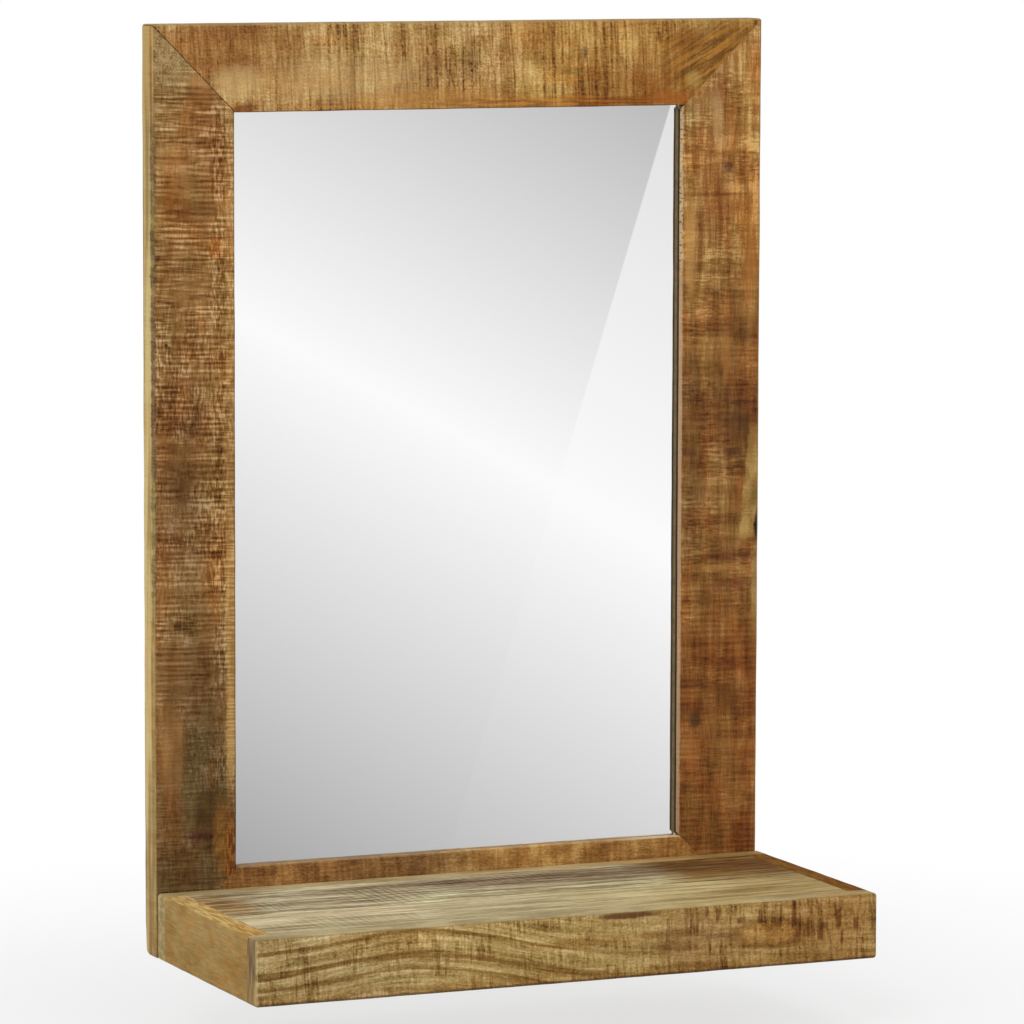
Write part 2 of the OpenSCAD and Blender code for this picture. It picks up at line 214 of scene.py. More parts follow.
# %% [markdown]
# ## Light, floor and background
# The photograph has a plain white ground and soft light from all sides, a little stronger from the
# left and from above. Three large lamps and a pale world give that. The floor is a real floor,
# which takes the shadow, but it fades into white with the distance, so that no horizon shows.
# From below it is clear, so that the underside of the shelf can be looked at.

# %% Lamps
def softbox(name, place, target, width, power):
    bpy.ops.object.light_add(type="AREA", location=place)
    lamp = bpy.context.object
    lamp.name, lamp.data.size, lamp.data.energy = name, width, power
    away = Vector(place) - Vector(target)
    lamp.matrix_world = Matrix.Translation(place) @ away.to_track_quat("Z", "Y").to_matrix().to_4x4()
    print(name, power, "W")


middle = (cad_low + cad_high) / 2
softbox("key lamp", (-2.6, -2.6, 2.0), middle, 2.2, 70)
softbox("fill lamp", (2.6, -3.0, 1.2), middle, 2.4, 34)
softbox("top lamp", (0.2, -0.6, 3.2), middle, 2.0, 26)

# %% The world, as the light sees it and as the camera and the mirror see it
# The mirror shows the studio: pale haze, a bright band and, right of it, the edge of a screen.
WHITE = (1, 1, 1, 1)
bpy.context.scene.world = bpy.data.worlds.new("studio")
studio = Finish(bpy.context.scene.world)
direction = studio.node("TexCoord", output=0)
reflected = Matrix.Scale(-1, 3, (0, 1, 0)) @ camera.matrix_world.to_3x3()


def lean(axis):
    """How far a ray leans along an axis, in widths of the picture."""
    dot = studio.node("VectorMath", {"operation": "DOT_PRODUCT"}, {0: direction, 1: axis}, 1)
    return dot * (camera.data.lens / camera.data.sensor_width)


aside, upward = lean(reflected.col[0]), lean(reflected.col[1])
off_band = upward + 0.53 * aside - 0.047
haze = 0.98 - 1.1 * off_band.work("PINGPONG", off_band, 0.55)
screen = (aside - 0.297 * upward - 0.036).rise(0, 0.0015)
haze = (haze + screen * (0.6 * off_band).most(0.012).least(0.3)).least(0.98)
print("mirror haze ready")

# %% Join the world's two faces
path = [studio.node("LightPath", output=i) for i in (0, 3, 6)]
seen = path[1].most(path[2])
plain = studio.node("Background", sockets={0: WHITE, 1: 0.42})
shown = studio.node("Background", sockets={0: WHITE, 1: 1.0})
hazy = studio.node("Background", sockets={0: WHITE, 1: haze})
outside = studio.node("MixShader", sockets={0: path[0], 1: plain, 2: shown})
studio.surface(studio.node("MixShader", sockets={0: seen, 1: outside, 2: hazy}), "World")
studio.count()

# %% The floor
bpy.ops.mesh.primitive_circle_add(
    vertices=96, radius=9, fill_type="NGON", location=(0, -0.1, cad_low.z - 60 * MM))
floor = bpy.context.object
floor.name = "floor"
floor.visible_glossy = False
floor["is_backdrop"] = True
ground = finish_for("floor_paint")
ground_x, ground_y, _ = ground.millimetres()
distance = (ground_x * ground_x + ground_y * ground_y) ** 0.5
for_camera = ground.node("LightPath", output=0)
painted = ground.node("BsdfDiffuse", sockets={"Color": (0.86, 0.86, 0.86, 1)})
glowing = ground.node("Emission", sockets={0: WHITE, 1: 1.0})
clear = ground.node("BsdfTransparent")
share = for_camera * (0.7 + 0.3 * distance.rise(250, 900))
lit = ground.node("MixShader", sockets={0: share, 1: painted, 2: glowing})
below = ground.node("NewGeometry", output=6)
ground.surface(ground.node("MixShader", sockets={0: below, 1: lit, 2: clear}))
floor.data.materials.append(ground.owner)
print("floor at", round(floor.location.z, 4))

# %% [markdown]
# ## Rough-sawn and sanded wood
# A band saw leaves fine marks across a board, and the grain with its pores runs along it. Where both
# show, the face looks like plaid. Under them lie larger patches, golden, brown or reddish, which
# the oil brings out. All of it is solid noise in millimetres of the part's frame, stretched along
# or across the board, so that it runs round the edges as it does in real wood.

# %% The class Wood: its layers
def shade(red, green, blue):
    """A colour as a screen shows it, 0 to 255, in the even steps that shaders count in."""
    return (*(((c / 255 + 0.055) / 1.055) ** 2.4 for c in (red, green, blue)), 1)


class Wood(Finish):
    """Wood with its grain along one axis of the part, and seen mostly on one face."""

    def __init__(self, name, along, across, seed, face="xz"):
        super().__init__(bpy.data.materials.new(name))
        self.x, self.y, self.z = self.millimetres()
        axes = {"x": self.x, "y": self.y, "z": self.z}
        self.along, self.across = axes[along], axes[across]
        self.deep = axes[({"x", "y", "z"} - {along, across}).pop()]
        self.seed, self.face = seed, [axes[axis] for axis in face]
        self.wander = self.noise(self.along / 70, self.across / 30, seed, 1)
        self.ragged = self.noise(self.along / 8, self.across / 6, seed, 3, 0.6)
        self.specks = self.noise(self.along / 1.4, self.across / 1.2, self.deep / 1.2, 2, 0.6)

    def layer(self, length, width, sharp=1.0, detail=1.0, slant=0.0, bend=0.0):
        """Streaks from -1 to 1, about length mm along the board and width mm across it."""
        self.seed += 3.7
        run = (self.along + slant * self.across) / length + self.seed
        side = (self.across + bend) / width
        streaks = self.noise(run, side, self.deep / width, detail, 0.55)
        return (streaks * sharp).rise(-1, 1) * 2 - 1

    def marks(self, pitch, reach, sharp=1.5, detail=1.0):
        """Marks of the saw, which cross the board and rise a little."""
        return self.layer(pitch, reach, sharp, detail, slant=0.04)

    def comb(self, pitch, sharp=1.0):
        """Saw marks from 0 to 1, nearly even, which cross the whole board."""
        run = self.along + 0.03 * self.across + 0.25 * self.ragged
        run = run + 3 * self.noise(self.along / 22, self.across / 400, self.seed, 2)
        return (0.5 + 0.5 * (run * (2 * math.pi / pitch)).sine()) ** sharp

    def threads(self, spacing, reach, thick, slant=0.04):
        """1 on thin lines that cross the board, 0 between them."""
        self.seed += 3.7
        run = (self.along + slant * self.across) / spacing + self.seed
        wave = self.noise(run, self.across / reach, self.deep / reach, 1)
        return abs(wave).fall(0, thick)

    def patch(self, first, second, wide, high, soft=0.5):
        """1 inside a blotch at a place of the seen face, 0 outside, with a ragged edge."""
        u, v = self.face
        far = (((u - first) / wide) ** 2 + ((v - second) / high) ** 2) ** 0.5
        return (far + 0.22 * self.ragged).fall(1 - soft, 1 + soft)


print("wood layers ready")

# %% The class OiledWood: its colours
class OiledWood(Wood):
    def tones(self, tone, dark, brown, tan, light):
        """Turns a tone from 0 to 1 into one of a board's own four colours."""
        low = self.blend(tone.rise(0.0, 0.42), shade(*dark), shade(*brown))
        middle = self.blend(tone.rise(0.3, 0.72), low, shade(*tan))
        self.colour = self.blend(tone.rise(0.6, 1.05), middle, shade(*light))
        self.count()

    def stain(self, mask, red, green, blue):
        """Multiplies the colour where the mask is 1, so that the grain still shows."""
        self.colour = self.blend(mask, self.colour, (red, green, blue, 1), "MULTIPLY")

    def blotch(self, first, second, wide, high, red, green, blue, soft=0.5):
        """Stains a patch of the seen face: its place and reach in mm, then its tint."""
        self.stain(self.patch(first, second, wide, high, soft), red, green, blue)

    def paint(self, mask, red, green, blue):
        """Covers the colour where the mask is 1."""
        self.colour = self.blend(mask, self.colour, shade(red, green, blue))

    def face_paint(self, mask, tone, dark, light):
        """Gives another face of the board two colours of its own, mixed by a tone."""
        two = self.blend(tone.rise(0, 1), shade(*dark), shade(*light))
        self.colour = self.blend(mask, self.colour, two)

    def varnish(self, rough, height, depth=0.25, shine=0.12):
        """Closes the recipe: colour, roughness and a relief that is depth millimetres high."""
        bump = self.node("Bump", sockets={"Distance": depth * MM, "Height": height})
        return self.principled({"Base Color": self.colour, "Roughness": rough, "Normal": bump,
            "Specular IOR Level": shine})


print("wood language ready")

# %% [markdown]
# ## The four frame boards, colour by colour
# Each board is its own piece of timber, so each gets its own tones and its own blotches, which are
# placed where the photograph shows them. Wear and side grain are measured from the two
# faces whose places LEFT_SIDE and FRAME_FACE give, in millimetres.

# %% Left stile: saw marks and pores
wood = OiledWood("left_stile_wood", "z", "x", 11)
comb = (wood.comb(4.1) - 0.5) * wood.layer(18, 24, 2, 2).rise(-1, 0.4)
bands = wood.marks(7.5, 120, 1.7)
lines = wood.marks(2, 24, 2.6)
threads = wood.threads(5.5, 45, 0.3) * wood.layer(9, 8, 2, 2).rise(-0.8, 0.4)
pores = wood.layer(7.5, 1.8, 2.2)
streaks = wood.layer(60, 8)
clouds = wood.layer(42, 22, detail=2)
worked = wood.layer(34, 40, 1.6).rise(-0.7, 0.5)
middle = wood.z.strip(-335, -115, 30)
plaid = (wood.x + 205 + wood.ragged).rise(-4, 6).most(0.8 * middle)
lower = (wood.z + 395).fall(-45, 45)
tone = 0.53 + 0.1 * clouds + 0.06 * streaks + 0.09 * bands * (1 - 0.6 * lower)
tone = tone + (0.28 * comb + 0.12 * lines * worked) * (1 - 0.5 * lower) - 0.14 * threads
tone = tone + (0.07 + 0.13 * plaid) * pores * (0.4 + 0.6 * worked) + 0.08 * wood.specks
scratches = wood.threads(6, 16, 0.22).most(wood.layer(3.5, 1.7, 2.4).rise(0.4, 0.9))
scratched = (lower * (wood.z + 470).rise(-20, 20)).most(0.7 * plaid)
tone += 0.16 * scratched * scratches
relief = 0.5 * lines + 0.3 * bands + 0.2 * pores
wood.tones(tone, (74, 42, 10), (122, 82, 38), (158, 118, 70), (208, 176, 132))

# %% Left stile: blotches, from the top down
hue = wood.layer(60, 26, 1.4, 2)
wood.stain(hue.rise(0.2, 1), 1.06, 0.94, 0.8)
wood.stain((-1 * hue).rise(0.1, 0.9), 0.95, 1.03, 1.02)
triangle = wood.patch(-239, 90, 20, 24)
wood.face_paint(0.7 * triangle, 0.5 + 0.6 * wood.ragged + 0.6 * wood.specks,
    (112, 84, 42), (180, 154, 106))
wood.blotch(-230, -28, 10, 24, 1.08, 0.97, 0.84)
wood.blotch(-213, -32, 14, 10, 0.78, 0.7, 0.62)
wood.blotch(-201, -56, 6, 9, 1.08, 0.82, 0.6)
wood.blotch(-236, 50, 16, 70, 1.06, 1.1, 1.12, soft=0.7)
wood.blotch(-208, 20, 22, 34, 0.96, 0.87, 0.84)
wood.blotch(-200, 12, 12, 28, 0.97, 0.88, 0.82)
wood.blotch(-198, -104, 12, 38, 0.91, 0.89, 0.96)
wood.stain(wood.z.strip(-300, -150, 30), 0.84, 0.8, 0.8)
away = wood.x.strip(-243, -213, 6)
wood.stain(away * wood.z.strip(-400, -20, 40), 0.9, 0.87, 0.86)
wood.stain(wood.z.strip(-300, -170, 30), 0.92, 0.9, 0.88)
wood.stain((wood.x + 206).rise(-6, 8) * wood.z.strip(-330, -60, 30), 1.1, 1.09, 1)
wood.stain(wood.z.strip(-300, 20, 30), 1.06, 1.05, 1)
wood.stain(away * wood.z.strip(-365, -290, 20), 0.98, 1.08, 1.16)
wood.blotch(-220, -188, 15, 12, 0.76, 0.74, 0.72)
wood.blotch(-228, -240, 10, 9, 0.78, 0.74, 0.74)
wood.paint(0.9 * wood.patch(-240, -128, 1.6, 1.2, 0.3), 60, 36, 14)
wood.stain((wood.z + 365).fall(-30, 30), 0.76, 0.77, 0.79)
wood.blotch(-209, -400, 22, 60, 0.8, 0.8, 0.8, soft=0.8)
wood.face_paint(0.8 * wood.patch(-236, -436, 10, 34, 0.4), 0.5 + 0.4 * streaks + 0.2 * wood.specks,
    (132, 90, 46), (162, 118, 66))
wood.blotch(-212, -462, 24, 46, 0.66, 0.7, 0.68, soft=0.4)
wood.blotch(-205, -474, 18, 14, 0.74, 0.8, 0.76)
wood.blotch(-206, -505, 18, 40, 0.72, 0.7, 0.7)
wood.blotch(-228, -256, 18, 40, 0.88, 0.85, 0.86)
wood.blotch(-236, -484, 7, 26, 1, 0.84, 0.8)
wood.blotch(-214, -499, 13, 3, 0.72, 0.5, 0.78)
wood.face_paint(0.75 * wood.patch(-197, -502, 6, 26), 0.5 + 0.5 * wood.ragged,
    (102, 62, 20), (158, 110, 46))
wood.blotch(-232, -536, 30, 30, 0.66, 0.72, 0.72)

wood.count()

# %% Left stile: edges and side face
LEFT_SIDE, FRAME_FACE = -250, -24
golden = (wood.x + 194 + 1.5 * wood.ragged).rise(0, 2.5) * (wood.z + 455).rise(-30, 30)
golden = golden * (0.3 + 0.5 * (wood.z + 260).fall(-60, 60))
wood.face_paint(golden, 0.5 + 0.4 * streaks + 0.3 * lines, (162, 118, 60), (208, 166, 102))
orange = (wood.x + 196 + 2 * wood.ragged).rise(0, 5) * (wood.z + 482).fall(-26, 26)
wood.face_paint(0.75 * orange, 0.5 + 0.5 * pores + 0.4 * wood.specks, (100, 54, 16), (160, 98, 38))
inside = wood.x - LEFT_SIDE
side = inside.fall(0.5, 1.5)
top_part = wood.z.rise(0, 70)
depths = wood.layer(150, 7, 1.5, 2)
wood.face_paint(side, 0.62 + 0.45 * depths + 0.12 * wood.ragged, (166, 134, 78), (222, 198, 134))
wood.stain(side * (0.75 * hue.rise(-0.2, 0.8)).most(top_part), 0.94, 0.84, 0.74)
wood.stain(side * top_part * (wood.y + 12 + wood.ragged).rise(-4, 4), 0.86, 0.86, 0.86)
wood.stain(side * top_part * wood.y.strip(-21, -11, 2), 0.96, 0.86, 0.7)
wood.stain(side * (1 - top_part), 1.05, 1.04, 1.02)
wood.stain(side * (wood.y + 3.5).rise(0, 2.5), 0.66, 0.7, 0.78)
wood.stain(side * (wood.z + 505).fall(-60, 60), 0.84, 0.82, 0.82)
wood.count()

# %% Left stile: the worn arris between its face and its side, and the shade line at the mirror
depth = wood.y - FRAME_FACE
worn = (depth + 2.2 * wood.ragged).fall(4, 7) * (inside + 1.3 * wood.ragged).fall(1, 3)
worn = worn * (0.2 + 0.8 * wood.z.strip(-330, 40, 30))
speckled = 0.5 + 0.5 * wood.ragged + 0.45 * wood.specks
wood.face_paint(0.8 * worn, speckled, (84, 56, 28), (164, 140, 96))
wood.stain(worn * wood.layer(30, 8, 2, 2).rise(0, 0.6), 0.92, 0.82, 0.98)
wood.stain(worn * wood.layer(30, 8, 2, 2).rise(0.1, 0.7), 0.9, 1, 0.84)
wood.paint(0.85 * (wood.x + 186.3).rise(0, 0.5), 66, 44, 20)
left_stile_wood = wood.varnish(0.62, relief)

# %% Right stile: smoother, with soft streaks and faint saw marks
wood = OiledWood("right_stile_wood", "z", "x", 23)
bands = wood.marks(11, 90, 1.8)
lines = wood.marks(1.8, 12, 2)
threads = wood.threads(7, 30, 0.3) * wood.layer(9, 8, 2, 2).rise(-0.5, 0.6)
pores = wood.layer(12, 1.5, 1.8)
dashes = wood.layer(1.5, 5, 1.6, 2)
comb = (wood.comb(4.6) - 0.5) * wood.layer(20, 16, 2, 2).rise(-0.6, 0.8)
streaks = wood.layer(75, 9, 1.3)
fine_streaks = wood.layer(36, 3.4, 1.6, 2)
clouds = wood.layer(26, 14, 1.2, 3)
worked = wood.layer(40, 34, 1.8).rise(-0.4, 0.8) * (0.5 + 0.5 * (wood.z + 400).rise(-60, 60))
upper = wood.z.rise(-125, -60)
tone = 0.47 + 0.1 * clouds + 0.09 * streaks + 0.1 * bands + 0.05 * pores + 0.11 * wood.specks
tone = tone + (0.1 * lines + 0.06 * dashes) * (0.25 + 0.75 * worked) - 0.12 * threads * worked
tone = tone + (0.17 - 0.08 * upper) * comb + 0.06 * upper * wood.specks
tone = tone + 0.2 * upper + (0.06 + 0.05 * upper) * fine_streaks
relief = 0.5 * lines + 0.5 * pores
wood.tones(tone, (74, 40, 12), (120, 77, 33), (152, 107, 56), (198, 158, 100))

# %% Right stile: blotches, from the top down
hue = wood.layer(45, 18, 1.5, 2)
wood.stain(hue.rise(0, 0.9), 1.03, 0.88, 0.76)
wood.stain((-1 * hue).rise(0.1, 0.9), 0.96, 1.02, 0.96)
wood.blotch(191, 36, 6, 18, 1, 1.12, 1.35)
wood.blotch(240, 20, 16, 90, 1.24, 1.25, 1.18)
wood.blotch(188, -10, 8, 60, 1.12, 1.12, 1, soft=0.6)
wood.stain(wood.z.strip(-236, -170, 10), 0.83, 0.81, 0.83)
wood.blotch(234, -70, 16, 40, 0.93, 0.92, 0.82)
wood.blotch(196, -134, 14, 34, 1.11, 1.11, 1.11)
wood.blotch(228, -202, 17, 26, 0.92, 0.83, 0.85)
wood.blotch(196, -330, 16, 34, 1.07, 1.12, 1.1)
wood.stain(wood.z.strip(-520, -440, 10), 1.08, 1.09, 1.1)
wood.blotch(196, -70, 16, 44, 1.09, 1.1, 1.1)
wood.paint(0.5 * wood.patch(212, 36, 4, 18), 200, 160, 106)
wood.blotch(222, -4, 3.5, 3.8, 0.46, 0.4, 0.56)
wood.blotch(215, -25, 30, 1.3, 0.68, 0.6, 0.5)
wood.blotch(213, -36, 9, 5, 0.84, 0.76, 0.68)
wood.paint(0.6 * wood.patch(190, -66, 4.5, 36), 190, 146, 82)
wood.blotch(198, -60, 2.2, 30, 0.78, 0.7, 0.64)
wood.paint(0.45 * wood.patch(242, -88, 5, 30), 178, 118, 54)
wood.paint(0.45 * wood.patch(221, -150, 4, 20), 172, 114, 56)
wood.blotch(214, -127, 12, 5, 0.78, 0.66, 0.6)
wood.blotch(188, -165, 8, 20, 0.8, 0.84, 0.88)
wood.blotch(237, -187, 14, 1.8, 0.55, 0.5, 0.5)
wood.blotch(233, -202, 11, 8, 0.66, 0.66, 0.74)
wood.blotch(228, -225, 6, 3.4, 0.55, 0.5, 0.55)
wood.blotch(189, -224, 8, 3.4, 0.66, 0.6, 0.62)
mottle = 0.5 + 0.4 * clouds + 0.3 * wood.specks
wedge = (wood.x - 236 - 0.1 * (wood.z + 248) + 1.5 * wood.ragged).rise(0, 3)
wood.face_paint(0.8 * wedge * wood.z.strip(-292, -205, 6), mottle, (146, 108, 52), (192, 160, 94))
wood.blotch(246, -262, 4, 9, 0.74, 0.8, 0.8)
depth = wood.y - FRAME_FACE
wood.paint(wood.patch(249.5, -284, 3.4, 12, 0.3) * (depth + wood.ragged).fall(4, 8), 28, 18, 8)
wood.blotch(194, -268, 9, 34, 0.88, 0.98, 1.15)
wedge = (wood.x - 243 + 1.5 * wood.ragged).rise(0, 3)
wood.face_paint(0.7 * wedge * wood.z.strip(-372, -300, 10), mottle, (146, 110, 58), (190, 158, 100))
wood.blotch(224, -307, 24, 3.4, 0.66, 0.54, 0.58)
wood.paint(0.5 * wood.patch(222, -315, 22, 2.2), 172, 122, 62)
wood.blotch(224, -329, 17, 4.5, 0.68, 0.55, 0.58)
wood.stain((wood.z + 350).fall(-30, 30), 0.96, 0.85, 0.74)
wood.stain(wood.z.strip(-445, -375, 18), 0.92, 0.88, 0.86)
wood.blotch(196, -434, 5, 6, 0.46, 0.54, 0.7)
wood.paint(0.5 * wood.patch(194, -458, 5, 14), 170, 108, 56)
wood.blotch(243, -482, 6, 9, 1.2, 1.2, 1.1)
wood.paint(0.4 * (wood.x - 247.5 + 0.5 * wood.ragged).rise(0, 1.5), 160, 126, 68)
wood.count()

# %% Right stile: the lip, with painted shade inside and a painted highlight on its pale, beaded arris
# Painted shade on the lip's inner side, darkest at the front and lighter next to the glass.
lip = (wood.x - 181.1).fall(0, 0.4)
wood.face_paint(lip * depth.rise(0.9, 1.5), depth.rise(3.4, 4.2), (28, 17, 2), (90, 70, 28))
# A painted highlight on the lip's arris, beaded above and plain below, over wood that is pale and bare
# there.
beaded_highlight = wood.noise(wood.z / 1.9, wood.x / 2.5, 7, 1).rise(-0.9, 0.3)
arris = (wood.x - 183 + 0.5 * wood.ragged).fall(0, 1.3)
arris = arris * depth.fall(1.1, 1.7)
wood.face_paint(0.65 * arris * (wood.z + 85).rise(-20, 20), beaded_highlight, (128, 98, 66), (212, 190, 154))
wood.paint(0.7 * arris * (wood.z + 85).fall(-20, 20), 200, 166, 132)
right_stile_wood = wood.varnish(0.6, relief)

# %% Top rail: golden wood, with broken dashes that cross it
wood = OiledWood("top_rail_wood", "x", "z", 31)
clouds = wood.layer(36, 20, 1.1, 3)
hatch = wood.marks(2, 20, 2)
bands = wood.marks(9, 80, 1.6)
flecks = wood.layer(2.6, 1.6, 2, 2, slant=0.5)
broken = wood.layer(3, 4, 2.2, 2).rise(-0.6, 0.4)
groups = wood.layer(30, 300, 1.6).rise(-0.7, 0.5) * (0.45 + 0.55 * broken)
threads = (wood.comb(6.8, 5) * groups).most(wood.threads(14, 200, 0.12) * (0.6 + 0.4 * broken))
dashes = wood.threads(4.5, 14, 0.22) * broken
pores = wood.layer(26, 2.2, 1.3)
worked = wood.layer(40, 26, 1.8).rise(-0.6, 0.6)
tone = 0.66 + 0.1 * clouds + 0.1 * bands + 0.05 * pores + 0.09 * flecks + 0.06 * wood.specks
reddish = wood.patch(-192, 92, 54, 24, 0.4)
cluster = wood.patch(-2, 76, 36, 18)
tone = tone + 0.1 * hatch - 0.36 * threads * (1 - 0.65 * reddish)
tone -= (0.16 * worked + 0.2 * cluster) * dashes
relief = 0.4 * flecks - 0.6 * threads
wood.tones(tone, (84, 52, 18), (140, 98, 48), (178, 138, 82), (214, 184, 130))

# %% Top rail: blotches, from left to right
hue = wood.layer(60, 20, 1.4, 2)
wood.stain(hue.rise(0.1, 1), 1.02, 0.92, 0.76)
wood.stain((-1 * hue).rise(0.2, 1), 0.96, 1, 0.92)
wood.stain(reddish, 0.75, 0.58, 0.47)
wood.paint(0.5 * wood.patch(-182, 66, 18, 12), 206, 178, 120)
wood.paint(0.35 * wood.patch(-95, 68, 62, 15, 0.6), 204, 172, 116)
wood.blotch(-89, 84, 3, 26, 0.8, 0.76, 0.7)
wood.blotch(-17, 76, 22, 13, 0.84, 0.78, 0.7)
wood.blotch(6, 80, 7, 11, 0.72, 0.68, 0.68)
wood.paint(0.5 * wood.patch(-30, 51, 60, 8), 184, 130, 62)
wood.face_paint(0.7 * wood.patch(80, 47, 100, 5), 0.5 + 0.6 * pores + 0.2 * wood.specks,
    (132, 78, 24), (184, 126, 54))
wood.blotch(100, 86, 3, 5, 0.55, 0.56, 0.62)
wood.blotch(91, 71, 12, 2.2, 0.62, 0.68, 0.72)
wood.paint(0.75 * wood.patch(-177, 47, 10, 3), 120, 64, 28)
wood.stain(wood.x.rise(-10, 90), 1, 0.92, 0.7)
wood.blotch(150, 58, 50, 20, 0.66, 0.53, 0.41, soft=0.6)
wood.blotch(-60, 96, 70, 18, 1.07, 1.09, 1.1, soft=0.6)
wood.blotch(78, 66, 30, 18, 1.07, 1.11, 1.14)
wood.count()

# %% Top rail: diagonal flames near the right mitre, the arrises and a painted shade line at the lip
flame = wood.layer(30, 3, 1.4, 2, bend=-0.57 * wood.x + 1.2 * wood.ragged)
near_mitre = wood.patch(212, 80, 44, 30)
wood.face_paint(0.8 * near_mitre, 0.5 + 0.45 * flame + 0.25 * wood.specks, (90, 52, 14), (170, 116, 44))
wood.blotch(190, 92, 10, 8, 0.78, 0.7, 0.7)
wood.paint(0.4 * wood.patch(192, 64, 6, 6), 190, 164, 92)
wood.paint(0.6 * wood.patch(172, 50, 18, 5), 160, 84, 26)
wood.paint(0.55 * (wood.z - 108 + 0.3 * wood.ragged).rise(0, 1.2), 160, 138, 92)
# A painted shade line along the lip, where the rail meets the mirror.
wood.paint(0.75 * (wood.z - 44.4).fall(0, 0.7), 92, 54, 22)
top_rail_wood = wood.varnish(0.6, relief)

# %% Bottom rail
wood = OiledWood("bottom_rail_wood", "x", "z", 47)
clouds = wood.layer(24, 14, 1.3, 2)
hatch = wood.marks(4.5, 40, 1.6)
pores = wood.layer(24, 2, 1.4)
flecks = wood.layer(3, 1.6, 1.8, 2)
tone = 0.52 + 0.15 * clouds + 0.12 * hatch + 0.07 * pores + 0.1 * flecks + 0.07 * wood.specks
tone += 0.14 * wood.x.rise(-60, 60)
relief = 0.5 * hatch + 0.5 * flecks
wood.tones(tone, (86, 52, 22), (128, 90, 48), (160, 120, 68), (194, 160, 106))
wood.stain(wood.x.fall(-120, 10), 1, 0.9, 0.84)
wood.stain(wood.x.rise(-20, 60), 1.12, 1.04, 0.88)
wood.stain(wood.x.strip(-104, -14, 12), 0.8, 0.78, 0.8)
wood.stain(wood.x.strip(0, 80, 12), 1.12, 1.13, 1.1)
wood.blotch(110, -532, 8, 6, 0.72, 0.62, 0.5)
wood.stain(wood.x.rise(150, 190), 0.84, 0.72, 0.6)
# A painted highlight on the lip's upper face at the mirror, over pale unvarnished wood, stronger at the
# right.
wood.paint(0.25 * (wood.z + 525.6).rise(0, 0.8), 184, 160, 118)
wood.paint(0.5 * (wood.z + 525.2).rise(0, 0.6) * wood.x.rise(120, 160), 226, 208, 176)
bottom_rail_wood = wood.varnish(0.6, relief)

# %% [markdown]
# ## The shelf's sanded boards
# The front board was sawn through the side of a growth hill, so dark rings arch over its left half.
# The ring lines are the height above an arch that is low on both sides and high in the middle. The
# top boards were sanded. They show streaks and, in soft patches, the even marks that a planer leaves
# when its knives chatter. What lies above SHELF_TOP belongs to a board's upper face.

# %% Shelf front board: the arched rings
wood = OiledWood("shelf_front_wood", "x", "z", 53)
from_crest = wood.x + 117
hill = 2.718 ** (0 - (from_crest / 95) ** 2)
ring = wood.z + 539 + 20 * (1 - hill) + 0.06 * from_crest + 1.2 * wood.wander
rings = wood.noise(wood.x / 60, ring / 3.4, wood.y / 6, 3, 0.6)
left_part = wood.x.fall(-20, 40)
lines = wood.marks(1.6, 12, 2)
bars = wood.marks(4, 34, 1.8, 1).rise(0, 1)
clouds = wood.layer(36, 14, 1.2, 3)
flecks = wood.layer(2.6, 1.4, 2, 2)
worked = wood.layer(22, 14, 2).rise(-0.4, 0.7)
tone = 0.61 + 0.03 * left_part + (0.2 + 0.12 * left_part) * rings
tone = tone + 0.1 * clouds + 0.1 * flecks + 0.08 * wood.specks
right_part = wood.x.rise(60, 120)
tone = tone + 0.1 * lines * (0.3 + 0.7 * worked) + 0.03 * right_part
tone -= (0.05 + 0.15 * worked + 0.11 * right_part) * bars
relief = 0.5 * lines + 0.3 * flecks
wood.tones(tone, (84, 56, 22), (138, 110, 60), (174, 148, 94), (210, 188, 142))

# %% Shelf front board: dark rings, wedge, oval and upright marks
SHELF_TOP = -541.2
for depth, width in ((3, 1.7), (20, 3.2), (31, 2)):
    band = (abs(ring + depth) / width + 0.5 * rings).fall(0.3, 1.3)
    wood.stain(band * (0.3 + 0.7 * left_part), 0.6, 0.48, 0.32)
wood.stain((wood.z + 583.5 + wood.ragged).fall(0, 3), 0.85, 0.76, 0.64)
wood.stain((wood.z + 588.2 + 0.7 * wood.ragged).fall(0, 1.2), 0.5, 0.46, 0.46)
wood.paint(0.85 * wood.patch(45, -542.5, 24, 2.6, 0.4), 84, 44, 14)
wood.blotch(20, -560, 46, 4, 0.86, 0.76, 0.64)
oval = (((wood.x - 162) / 28) ** 2 + ((wood.z + 564) / 10) ** 2) ** 0.5 + 0.12 * wood.ragged
wood.stain(oval.fall(0.6, 1.2), 0.96, 0.82, 0.64)
wood.stain(oval.strip(0.8, 1.2, 0.2), 0.66, 0.54, 0.42)
for place, height, tall, wide in ((97, -553, 4, 1), (119, -548, 5, 1.4), (138, -553, 2, 3.5),
        (154, -551, 5, 1.8), (171, -552, 6, 1.2), (182, -551, 10, 1.7), (194, -562, 8, 1.2),
        (204, -564, 8, 2.4), (219, -556, 8, 2.7), (222, -573, 6, 1.2), (234, -562, 5, 2.2)):
    mark = wood.x.strip(place - wide, place + wide, 0.9) * (0.9 + 0.7 * wood.ragged)
    mark = mark * wood.z.strip(height - tall, height + tall, 3)
    wood.stain(mark.rise(0, 0.9), 0.5, 0.38, 0.28)
wood.blotch(86, -559, 24, 3.4, 0.74, 0.64, 0.56)
wood.blotch(86, -569, 18, 4, 0.76, 0.68, 0.62)
wood.blotch(124, -563, 14, 2, 0.66, 0.62, 0.58)
wood.stain(wood.x.strip(-120, 110, 40), 1.02, 0.97, 0.84)
wood.stain(wood.x.rise(50, 130), 0.92, 0.78, 0.62)
wood.blotch(208, -558, 42, 22, 0.9, 0.78, 0.68, soft=0.6)
wood.blotch(145, -566, 34, 26, 1.07, 1.12, 1.16)
wood.blotch(-145, -549, 44, 10, 1.2, 1.15, 1.1)
